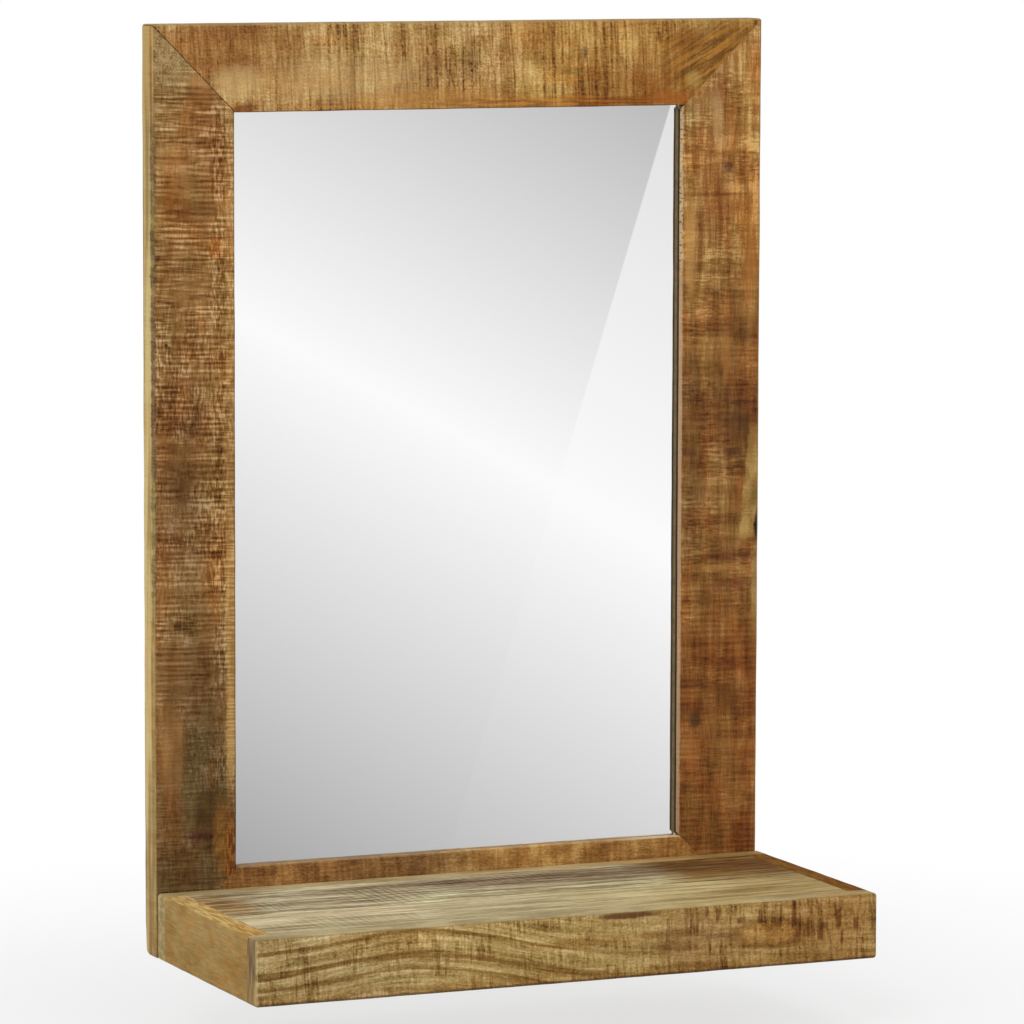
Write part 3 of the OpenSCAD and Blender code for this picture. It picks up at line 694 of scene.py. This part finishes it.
wood.blotch(100, -566, 34, 24, 0.86, 0.8, 0.84, soft=0.6)
# The upper face gets paler tones of its own. The lighter patch at x 70 to 160 is a painted reflection of
# the mirror, and the brown at the right is a painted reflection of the right stile.
upper_face = (wood.z - SHELF_TOP).rise(0, 0.6) * (wood.y + 229.3).rise(0, 0.8)
wood.face_paint(0.8 * upper_face, 0.5 + 0.4 * clouds + 0.3 * wood.specks, (150, 132, 88), (190, 174, 128))
wood.stain(upper_face * wood.x.strip(70, 160, 20), 1.3, 1.3, 1.25)
wood.stain(upper_face * wood.x.rise(140, 230), 0.86, 0.72, 0.48)
wood.paint(0.5 * (wood.z + 541.4 + 0.3 * wood.ragged).rise(0, 0.6) * (wood.y + 229).fall(0, 1),
    124, 102, 60)
wood.count()

# %% Shelf front board: end grain and pale arris at its left end
end = abs(wood.x - 1.5).rise(249.3, 250.1)
grain = wood.noise(wood.z / 22, wood.y / 2.2, 3, 2)
wood.face_paint(end, 0.5 + 0.6 * grain, (98, 74, 44), (162, 134, 88))
wood.stain(end * (wood.z + 568 + 2 * wood.ragged).fall(-6, 6), 1.3, 1.3, 1.2)
wood.stain(end * (wood.y + 216).rise(0, 3), 1.25, 1.2, 1.1)
pale = (wood.x + 247.4).fall(0, 0.7) * (wood.y + 228.6 + 0.4 * wood.ragged).fall(0, 0.7)
wood.paint(0.6 * pale * (0.6 + 0.5 * wood.ragged).rise(0, 1), 200, 182, 136)
shelf_front_wood = wood.varnish(0.55, relief)

# %% Shelf top boards
wood = OiledWood("shelf_top_rear_wood", "x", "y", 61, "xy")
streaks = wood.layer(90, 7, 1.8, 4)
pores = wood.layer(24, 1.4, 2)
slanted = wood.layer(7, 3.2, 2.2, 2, slant=0.9)
chatter = wood.patch(-92, -98, 30, 34, 0.7).most(0.7 * wood.patch(-188, -105, 16, 20))
chatter = chatter.most(0.7 * wood.patch(10, -66, 60, 18)) * wood.comb(6.5, 3)
tone = 0.58 + 0.28 * streaks + 0.16 * pores + 0.05 * wood.specks
tone = tone + 0.07 * slanted - 0.28 * chatter
wood.tones(tone, (94, 74, 54), (132, 112, 84), (166, 150, 118), (196, 184, 152))
# Painted reflection of the mirror: the top is lighter and bluer at its left and in a strip along the
# joint.
wood.stain(wood.x.fall(-80, -20), 1.2, 1.27, 1.27)
pale = wood.y.strip(-140, -107, 5) * wood.x.strip(-80, 150, 20)
wood.stain(pale, 1.35, 1.46, 1.4)
wood.blotch(45, -72, 110, 16, 0.64, 0.57, 0.57)
wood.stain(wood.x.strip(-60, 120, 40), 0.88, 0.86, 0.82)
wood.blotch(-36, -62, 34, 14, 0.76, 0.72, 0.74)
# Another painted reflection of the mirror, lighter and bluer.
wood.blotch(-28, -104, 34, 13, 1.24, 1.34, 1.46)
# Painted reflection of the left stile: reddish brown at the left end of the top.
wood.blotch(-220, -92, 18, 44, 0.8, 0.61, 0.43, soft=0.6)
# Painted reflection of the right stile: the top turns dark brown towards the right, less so near the
# joint.
brown = wood.x.rise(110, 160)
joint_side = (-112 - wood.y).rise(0, 16)
wood.stain(brown * (1 - 0.5 * joint_side), 0.4, 0.25, 0.13)
wood.stain(brown * joint_side, 1, 0.92, 0.66)
wood.stain(wood.x.rise(160, 200) * wood.y.strip(-95, -55, 8), 0.9, 0.82, 0.8)
wood.stain(brown * abs(wood.y + 75).rise(8, 20) * (1 - joint_side), 1.32, 1.4, 1.32)
shelf_top_rear_wood = wood.varnish(0.8, streaks, 0.05, 0.04)

wood = OiledWood("shelf_top_front_wood", "x", "y", 67, "xy")
streaks = wood.layer(100, 7, 1.8, 4)
pores = wood.layer(26, 1.4, 2)
slanted = wood.layer(6, 2.4, 2.2, 2, slant=0.9)
chatter = wood.patch(-168, -184, 40, 24, 0.7).most(0.9 * wood.patch(-110, -183, 12, 10))
chatter = chatter.most(0.7 * wood.patch(-212, -190, 12, 14)) * wood.comb(6.5, 3)
tone = 0.58 + 0.24 * streaks + 0.14 * pores + 0.05 * wood.specks
tone = tone + 0.07 * slanted - 0.24 * chatter
wood.tones(tone, (124, 106, 76), (160, 144, 106), (186, 171, 132), (208, 195, 160))
# Painted reflection of the mirror: the far half of the top is lighter and bluer at the left and at x 60
# to 160.
far_half = wood.y.strip(-180, -125, 8)
wood.stain(far_half * wood.x.fall(-120, -60), 1.3, 1.3, 1.38)
wood.stain(far_half * wood.x.strip(60, 160, 15), 1.2, 1.28, 1.42)
# Browner towards the right, where the top shows a painted reflection of the right stile.
wood.stain(wood.x.rise(-60, 160), 0.88, 0.78, 0.58)
wood.blotch(180, -180, 60, 12, 0.86, 0.8, 0.72, soft=0.6)
shelf_top_front_wood = wood.varnish(0.8, streaks, 0.05, 0.04)

# %% Shelf ends and back board
wood = OiledWood("shelf_end_wood", "y", "z", 71, "yz")
clouds = wood.layer(40, 20, 1.4, 3)
pores = wood.layer(16, 1.9, 1.6)
hue = wood.layer(24, 14, 1.6, 2)
tone = 0.56 + 0.13 * clouds + 0.08 * pores + 0.06 * wood.specks
wood.tones(tone, (122, 88, 44), (156, 122, 70), (180, 148, 92), (204, 174, 118))
wood.stain(hue.rise(0.1, 0.9), 1.04, 0.92, 0.8)
topside = (wood.z - SHELF_TOP).rise(0, 0.8)
wood.face_paint(0.8 * topside, 0.5 + 0.5 * pores + 0.2 * wood.specks, (176, 139, 76), (220, 190, 126))
wood.stain(topside * (-140 - wood.y).rise(0, 60), 0.9, 0.8, 0.66)
wood.stain(wood.x.rise(0, 100), 0.37, 0.24, 0.13)
shelf_end_wood = wood.varnish(0.8, pores, 0.1, 0.02)

wood = OiledWood("shelf_back_wood", "x", "z", 83)
streaks = wood.layer(70, 8, 1.4, 2)
pores = wood.layer(20, 2, 1.4)
tone = 0.5 + 0.2 * streaks + 0.12 * pores + 0.08 * wood.specks
wood.tones(tone, (112, 92, 56), (146, 124, 80), (170, 148, 102), (194, 174, 128))
wood.stain((wood.z - SHELF_TOP).rise(0, 0.8), 1.18, 1.22, 1.3)
wood.stain(wood.x.rise(60, 160), 0.86, 0.72, 0.54)
wood.stain((wood.x + 248).fall(-0.6, 0.2), 1.3, 1.35, 1.3)
shelf_back_wood = wood.varnish(0.6, pores, 0.1)

# %% Planed beech, for the cleats and dowels
def planed_beech(name, along, across, seed):
    wood = OiledWood(name, along, across, seed)
    streaks = wood.layer(60, 4, 1.4, 2)
    pores = wood.layer(5, 0.7, 2)
    tone = 0.55 + 0.18 * streaks + 0.12 * pores + 0.05 * wood.specks
    wood.tones(tone, (158, 118, 78), (184, 146, 104), (204, 170, 128), (222, 194, 152))
    return wood.varnish(0.75, pores, 0.05, 0.3)


beech_long = planed_beech("beech_along_the_shelf", "x", "z", 101)
beech_deep = planed_beech("beech_from_front_to_back", "y", "z", 103)

# %% Fibreboard and zinc
board = finish_for("fibreboard")
x, y, z = board.millimetres()
fibres = board.noise(x / 1.6, y / 1.6, z / 1.1, 3, 0.7)
mottle = board.noise(x / 45, y / 45, z / 60, 3)
brown = board.blend((0.3 * fibres + 0.4 * mottle).rise(-1, 1), shade(112, 78, 48), shade(156, 116, 78))
pressed = board.node("Bump", sockets={"Distance": 0.1 * MM, "Height": fibres})
fibreboard = board.principled({"Base Color": brown, "Roughness": 0.8, "Normal": pressed})

zinc = finish_for("zinc_steel")
x, y, z = zinc.millimetres()
spangle = zinc.noise(x / 2.2, y / 2.2, z / 2.2, 2)
brushed = zinc.noise(x / 0.25, y / 0.25, z / 9, 1)
bright = zinc.blend(spangle.rise(-1, 1), shade(168, 172, 176), shade(206, 208, 206))
zinc_steel = zinc.principled({"Base Color": bright, "Metallic": 1.0,
    "Roughness": 0.36 + 0.05 * brushed + 0.05 * spangle})

# %% Mirror
silver = finish_for("silvered_glass").principled({
    "Base Color": (0.98, 0.98, 0.98, 1), "Metallic": 1.0, "Roughness": 0.0})
edging = finish_for("mirror_back_paint")
x, y, z = edging.millimetres()
mottle = edging.noise(x / 6, y / 2, z / 6, 3)
grey = edging.blend(mottle.rise(-1, 1), shade(86, 68, 28), shade(120, 100, 54))
edge_paint = edging.principled({"Base Color": grey, "Roughness": 0.6})

# %% [markdown]
# ## The modelling tools
# Every board starts as a block of its own size, and is then cut, stepped and rounded in edit mode,
# as a joiner would do it. Faces and edges are picked by where they are. A plane that cuts the whole
# piece stands for the saw, and the same cut, with nothing taken away, leaves a line of points,
# which the worn edges need later.

# %% Begin a piece and pick its faces
AXES = X, Y, Z = [Vector((1, 0, 0)), Vector((0, 1, 0)), Vector((0, 0, 1))]


def span(node):
    """The lowest and the highest corner of a CAD node, in millimetres."""
    return [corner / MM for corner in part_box(node)]


def add(primitive, **settings):
    """A new primitive with its place in its mesh, and with nothing else selected."""
    bpy.ops.object.select_all(action="DESELECT")
    primitive(**settings)
    bpy.ops.object.transform_apply(location=True, rotation=True, scale=True)
    return bpy.context.object


def begin(name, low, high):
    """A new block between two corners, open for editing."""
    piece = add(bpy.ops.mesh.primitive_cube_add,
        size=1, location=(low + high) * MM / 2, scale=(high - low) * MM)
    piece.name = piece.data.name = name
    bpy.ops.object.mode_set(mode="EDIT")
    return piece


def pick(piece, kind, test):
    """Selects the faces or edges that pass a test, and returns the ends of the edges."""
    bpy.ops.mesh.select_mode(type="FACE" if kind == "faces" else "EDGE")
    bpy.ops.mesh.select_all(action="DESELECT")
    shape = bmesh.from_edit_mesh(piece.data)
    found = [part for part in getattr(shape, kind) if test(part)]
    for part in found:
        part.select_set(True)
    bmesh.update_edit_mesh(piece.data)
    return [[vert.co / MM for vert in part.verts] for part in found if len(part.verts) == 2]


# %% Cut, extrude and close
SHARP_FROM = 35


def cut(point, normal, drop=False):
    """Cuts the open piece with a plane. With drop, what lies in front of the plane goes."""
    bpy.ops.mesh.select_all(action="SELECT")
    bpy.ops.mesh.bisect(
        plane_co=Vector(point) * MM, plane_no=normal, use_fill=drop, clear_outer=drop)


def rule(axis, places):
    """Leaves a line round the open piece at each place along an axis."""
    for place in places:
        cut(axis * place, axis)


def even(low, high, step):
    """Places about one step apart between low and high, without the two ends."""
    count = max(1, round((high - low) / step))
    return [low + (high - low) * i / count for i in range(1, count)]


def draw_back(distance):
    """Extrudes the picked faces towards the wall, or away from it where distance is negative."""
    bpy.ops.mesh.extrude_region_move(TRANSFORM_OT_translate={"value": (0, distance * MM, 0)})


def end_editing(piece):
    """Turns all faces outwards and leaves edit mode."""
    if piece.mode == "EDIT":
        bpy.ops.mesh.select_all(action="SELECT")
        bpy.ops.mesh.normals_make_consistent(inside=False)
        bpy.ops.object.mode_set(mode="OBJECT")


def close(piece, finish, node):
    """Ends the editing, gives the piece its finish and its body, and hides the CAD node it stands for."""
    end_editing(piece)
    bpy.ops.object.shade_smooth_by_angle(angle=math.radians(SHARP_FROM))
    piece.data.materials.append(finish)
    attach(piece, "root")
    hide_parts(node)
    print(piece.name, len(piece.data.polygons), "faces")


# %% Wear and milled hollows
def wear(piece, arrises, depth, lump, reach=6.0):
    """Rubs the arrises of a piece away, unevenly and only inwards."""
    end_editing(piece)
    group = piece.vertex_groups.new(name="arris")
    for vertex in piece.data.vertices:
        place = vertex.co / MM
        gap = min((place - intersect_point_line(place, *ends)[0]).length for ends in arrises)
        if gap < reach:
            group.add([vertex.index], 1 - gap / reach, "REPLACE")
    clouds = bpy.data.textures.new(piece.name + "_wear", "CLOUDS")
    clouds.noise_scale, clouds.noise_depth, clouds.contrast = lump * MM, 2, 2.0
    clouds.use_clamp = True
    rub = piece.modifiers.new("rub", "DISPLACE")
    rub.texture, rub.texture_coords, rub.vertex_group = clouds, "LOCAL", group.name
    rub.mid_level, rub.strength = 0, -depth * MM
    bpy.ops.object.modifier_apply(modifier=rub.name)


def mill(piece, cutter):
    """Takes the shape of a cutter out of a piece, and throws the cutter away."""
    end_editing(cutter)
    bpy.ops.object.select_all(action="DESELECT")
    piece.select_set(True)
    bpy.context.view_layer.objects.active = piece
    hollow = piece.modifiers.new("hollow", "BOOLEAN")
    hollow.operation, hollow.solver, hollow.object = "DIFFERENCE", "EXACT", cutter
    bpy.ops.object.modifier_apply(modifier=hollow.name)
    bpy.data.objects.remove(cutter)


print("tools ready")

# %% [markdown]
# ## The four boards of the frame
# A frame board is a moulding: a thin lip in front, a step that holds the glass and a second step
# that holds the backing board. So it begins as the lip alone, and the two steps are drawn up behind
# it. The ends are then cut on the mitre lines of the CAD model. On the real frame the upper left
# mitre has opened a little, which a cut that leans by most of a millimetre gives.

# %% Sizes of the frame, from the CAD nodes
glass_front, glass_back = (corner.y for corner in span("mirror_pane"))
opening_low = Vector((span("left_stile")[1].x, 0, span("bottom_rail")[1].z))
opening_high = Vector((span("right_stile")[0].x, 0, span("top_rail")[0].z))
GLASS_PLAY, BACKING_PLAY = 1, 0.5
glass_rebate = opening_low.x - span("mirror_pane")[0].x + GLASS_PLAY
back_rebate = opening_low.x - span("backing_board")[0].x + BACKING_PLAY
WALL, OUTER_ROUND, WORN_ROUND, LIP_ROUND, CORNER_ROUND = 0.0, 2.0, 3.5, 1.2, 3.0
GUIDE, WEAR_STEP, FRAME_WEAR, FRAME_LUMP = 4, 6, 0.35, 40
outline_low = Vector((span("left_stile")[0].x, 0, span("bottom_rail")[0].z))
outline_high = Vector((span("right_stile")[1].x, 0, span("top_rail")[1].z))
print("opening", tuple(opening_low), tuple(opening_high), "rebates", glass_rebate, back_rebate)


# %% One frame board
def frame_board(node, inward, gaps=(0, 0), front_round=OUTER_ROUND):
    """A board of the frame, whose opening lies on the side that inward points to."""
    low, high = span(node)
    along = Z if inward.x else X
    low += along * (outline_low - low).dot(along)
    high += along * (outline_high - high).dot(along)
    outer, edge = sorted((low.dot(inward), high.dot(inward)))
    piece = begin("sawn_" + node, low, Vector((high.x, glass_front, high.z)))
    for rebate, rise in ((glass_rebate, glass_back - glass_front),
            (back_rebate, WALL - glass_back)):
        shoulder = edge - rebate
        cut(inward * shoulder, inward)
        pick(piece, "faces", lambda face: face.normal.y > 0.9
            and face.calc_center_median().dot(inward) < shoulder * MM)
        draw_back(rise)
    arrises = []
    for across, y, size in ((outer, low.y, front_round), (outer, WALL, OUTER_ROUND),
            (edge, low.y, LIP_ROUND)):
        arris = inward * across + Y * y
        arrises.append((arris, arris + along))
        pick(piece, "edges", lambda side: intersect_point_line(
            (side.verts[0].co + side.verts[1].co) / 2, arris * MM, (arris + along) * MM)[0]
            == (side.verts[0].co + side.verts[1].co) / 2)
        bpy.ops.mesh.bevel(offset=size * MM, segments=3, affect="EDGES")
    for out, end, mouth, gap in ((-1, low, opening_low, gaps[0]), (1, high, opening_high, gaps[1])):
        tip = inward * outer + along * (end.dot(along) - out * gap)
        slope = (tip - inward * edge - along * mouth.dot(along)).cross(Y)
        cut(tip, slope if slope.dot(along) * out > 0 else -slope, drop=True)
        middle = inward * (outer + CORNER_ROUND) + along * (end.dot(along) - out * CORNER_ROUND)
        for i in range(4):
            turn = math.radians(90 * (i + 0.5) / 4)
            way = -inward * math.cos(turn) + along * out * math.sin(turn)
            cut(middle + way * CORNER_ROUND, way, drop=True)
    rule(inward, (outer + GUIDE, outer + GUIDE + 5, edge - GUIDE))
    rule(Y, (low.y + GUIDE, WALL - GUIDE))
    rule(along, even(low.dot(along), high.dot(along), WEAR_STEP))
    return piece, arrises


FOOT_CUTS = ((5, 40), (9, 5), (6, 10))


def wear_foot(node):
    """Cuts the worn lower rear corner at the left off the open piece."""
    foot = span(node)[0]
    for back, up in FOOT_CUTS:
        cut((foot.x, -back, foot.z), (-2 / (back + up), 1 / back, -1 / up), drop=True)


print("joiner's tools ready")

# %% A round-ended hollow, as a milling cutter leaves it
SIDES = 32


def slot_cutter(x, low_z, high_z, radius, depth):
    """A disc whose upper half is drawn up and which is then pushed in from the wall side."""
    cutter = add(bpy.ops.mesh.primitive_circle_add, vertices=SIDES, radius=radius * MM, fill_type="NGON",
        location=Vector((x, 1, low_z + radius)) * MM, rotation=(math.pi / 2, math.pi / SIDES, 0))
    bpy.ops.object.mode_set(mode="EDIT")
    bpy.ops.mesh.select_mode(type="VERT")
    bpy.ops.mesh.select_all(action="DESELECT")
    shape = bmesh.from_edit_mesh(cutter.data)
    for vert in shape.verts:
        vert.select_set(vert.co.z > (low_z + radius) * MM)
    bmesh.update_edit_mesh(cutter.data)
    bpy.ops.transform.translate(value=(0, 0, (high_z - low_z - 2 * radius) * MM))
    bpy.ops.mesh.select_all(action="SELECT")
    draw_back(-(depth + 1))
    return cutter


print("milling cutter with", SIDES, "sides ready")

# %% The two stiles, with the seats of their hangers
SEAT_PLAY = 0.2
POCKET_FOOT, POCKET_TOP, POCKET_RADIUS, POCKET_DEPTH = -6.5, 17.5, 6.5, 10
stiles = {"left_stile": (X, (0.1, 0.8), WORN_ROUND, left_stile_wood),
    "right_stile": (-X, (0.1, 0.1), OUTER_ROUND, right_stile_wood)}
for node, (inward, gaps, front_round, finish) in stiles.items():
    piece, arrises = frame_board(node, inward, gaps, front_round)
    if node == "left_stile":
        wear_foot(node)
    wear(piece, arrises, FRAME_WEAR, FRAME_LUMP)
    low, high = span(node.replace("stile", "hanger_plate"))
    x, radius = (low.x + high.x) / 2, (high.x - low.x) / 2 + SEAT_PLAY
    mill(piece, slot_cutter(x, low.z - SEAT_PLAY, high.z + SEAT_PLAY, radius, -low.y))
    mill(piece, slot_cutter(x, POCKET_FOOT, POCKET_TOP, POCKET_RADIUS, POCKET_DEPTH - low.y))
    close(piece, finish, node)

# %% The two rails, and the countersinks of the five screws that hold the shelf
piece, arrises = frame_board("top_rail", -Z)
wear(piece, arrises, FRAME_WEAR, FRAME_LUMP)
close(piece, top_rail_wood, "top_rail")
piece, arrises = frame_board("bottom_rail", Z)
wear_foot("bottom_rail")
wear(piece, arrises, FRAME_WEAR, FRAME_LUMP)
HEAD, SINK_WIDE, SINK_NARROW, SINK_DEEP, SINK_MIDDLE = 4, 5.15, 2.15, 3, -0.8
low, high = span("shelf_fixing_screws")
for i in range(5):
    x = low.x + HEAD + (high.x - low.x - 2 * HEAD) * i / 4
    z = low.z + HEAD if i % 2 else high.z - HEAD
    mill(piece, add(bpy.ops.mesh.primitive_cone_add, vertices=SIDES, radius1=SINK_WIDE * MM,
        radius2=SINK_NARROW * MM, depth=SINK_DEEP * MM, location=Vector((x, SINK_MIDDLE, z)) * MM,
        rotation=(math.pi / 2, 0, 0)))
close(piece, bottom_rail_wood, "bottom_rail")

# %% [markdown]
# ## The shelf box
# Its front and back boards run past the ends, so their end grain shows at the sides. Each board is
# a block whose outer arrises are rounded, while the edges that meet another board are only eased,
# so that a fine line shows the joint. The wear is lighter than on the frame.

# %% Six shelf boards
EASED, SHELF_STEP, SHELF_LUMP, SHELF_REACH = 0.25, 7, 25, 5.0


def shelf_board(node, finish, glued, size=2.4, depth=0.4):
    """A board of the shelf box. Its sides that look along a glued way meet another board."""
    low, high = span(node)
    piece = begin("sanded_" + node, low, high)
    meets = lambda side: any(face.normal.dot(way) > 0.9 for face in side.link_faces for way in glued)
    arrises = pick(piece, "edges", lambda side: not meets(side))
    bpy.ops.mesh.bevel(offset=size * MM, segments=3, affect="EDGES")
    pick(piece, "edges", lambda side: meets(side) and side.calc_face_angle(0) > 1.5)
    bpy.ops.mesh.bevel(offset=EASED * MM, segments=1, affect="EDGES")
    longest = max(range(3), key=lambda i: high[i] - low[i])
    for i, axis in enumerate(AXES):
        if i == longest:
            rule(axis, even(low[i], high[i], SHELF_STEP))
        else:
            rule(axis, (low[i] + GUIDE, high[i] - GUIDE))
    wear(piece, arrises, depth, SHELF_LUMP, SHELF_REACH)
    close(piece, finish, node)
    piece.visible_glossy = False


shelf_board("shelf_front_board", shelf_front_wood, [Y])
shelf_board("shelf_back_board", shelf_back_wood, [-Y])
shelf_board("shelf_left_end", shelf_end_wood, [X, Y, -Y])
shelf_board("shelf_right_end", shelf_end_wood, [-X, Y, -Y])
shelf_board("shelf_top_rear_board", shelf_top_rear_wood, [X, -X], 0.6, 0.3)
shelf_board("shelf_top_front_board", shelf_top_front_wood, [X, -X], 0.6, 0.3)

# %% [markdown]
# ## The mirror
# The silver is on the back of the glass, and through the glass it seems to lie two thirds as deep.
# The pane is therefore made as a plate whose middle is sunk by that much, with a narrow rim where
# the frame's lip covers it.

# %% Mirror pane
GLASS_ARRIS, BEHIND_LIP, SILVER_DEPTH = 0.4, 1.5, 2
low, high = span("mirror_pane")
piece = begin("silvered_pane", low, high)
pick(piece, "edges", lambda side: True)
bpy.ops.mesh.bevel(offset=GLASS_ARRIS * MM, segments=1, affect="EDGES")
pick(piece, "faces", lambda face: face.normal.y < -0.99)
bpy.ops.mesh.inset(thickness=(glass_rebate - BEHIND_LIP) * MM)
draw_back(SILVER_DEPTH)
close(piece, silver, "mirror_pane")
piece.data.materials.append(edge_paint)
for face in piece.data.polygons:
    face.material_index = abs(face.normal.y) < 0.9 or face.center.y > (low.y + SILVER_DEPTH + 0.5) * MM

# %% [markdown]
# ## What holds it together
# The cleats, dowels, screws, plates and the backing board have the right shape in the CAD model, so
# those nodes stay as they are and only get their finish.

# %% Dress the CAD nodes that stay
kept = {beech_long: ("shelf_front_cleat", "shelf_back_cleat", "mitre_dowels"),
    beech_deep: ("shelf_left_cleat", "shelf_right_cleat", "shelf_dowels"),
    fibreboard: ("backing_board",),
    zinc_steel: ("backing_screws", "left_hanger_plate", "right_hanger_plate", "hanger_screws",
        "cleat_screws", "shelf_fixing_screws")}
for finish, names in kept.items():
    for name in names:
        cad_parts[name].material_slots[0].material = finish
        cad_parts[name].visible_glossy = "shelf" not in name and "cleat" not in name
    print(finish.name, "on", len(names), "nodes")

low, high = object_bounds()
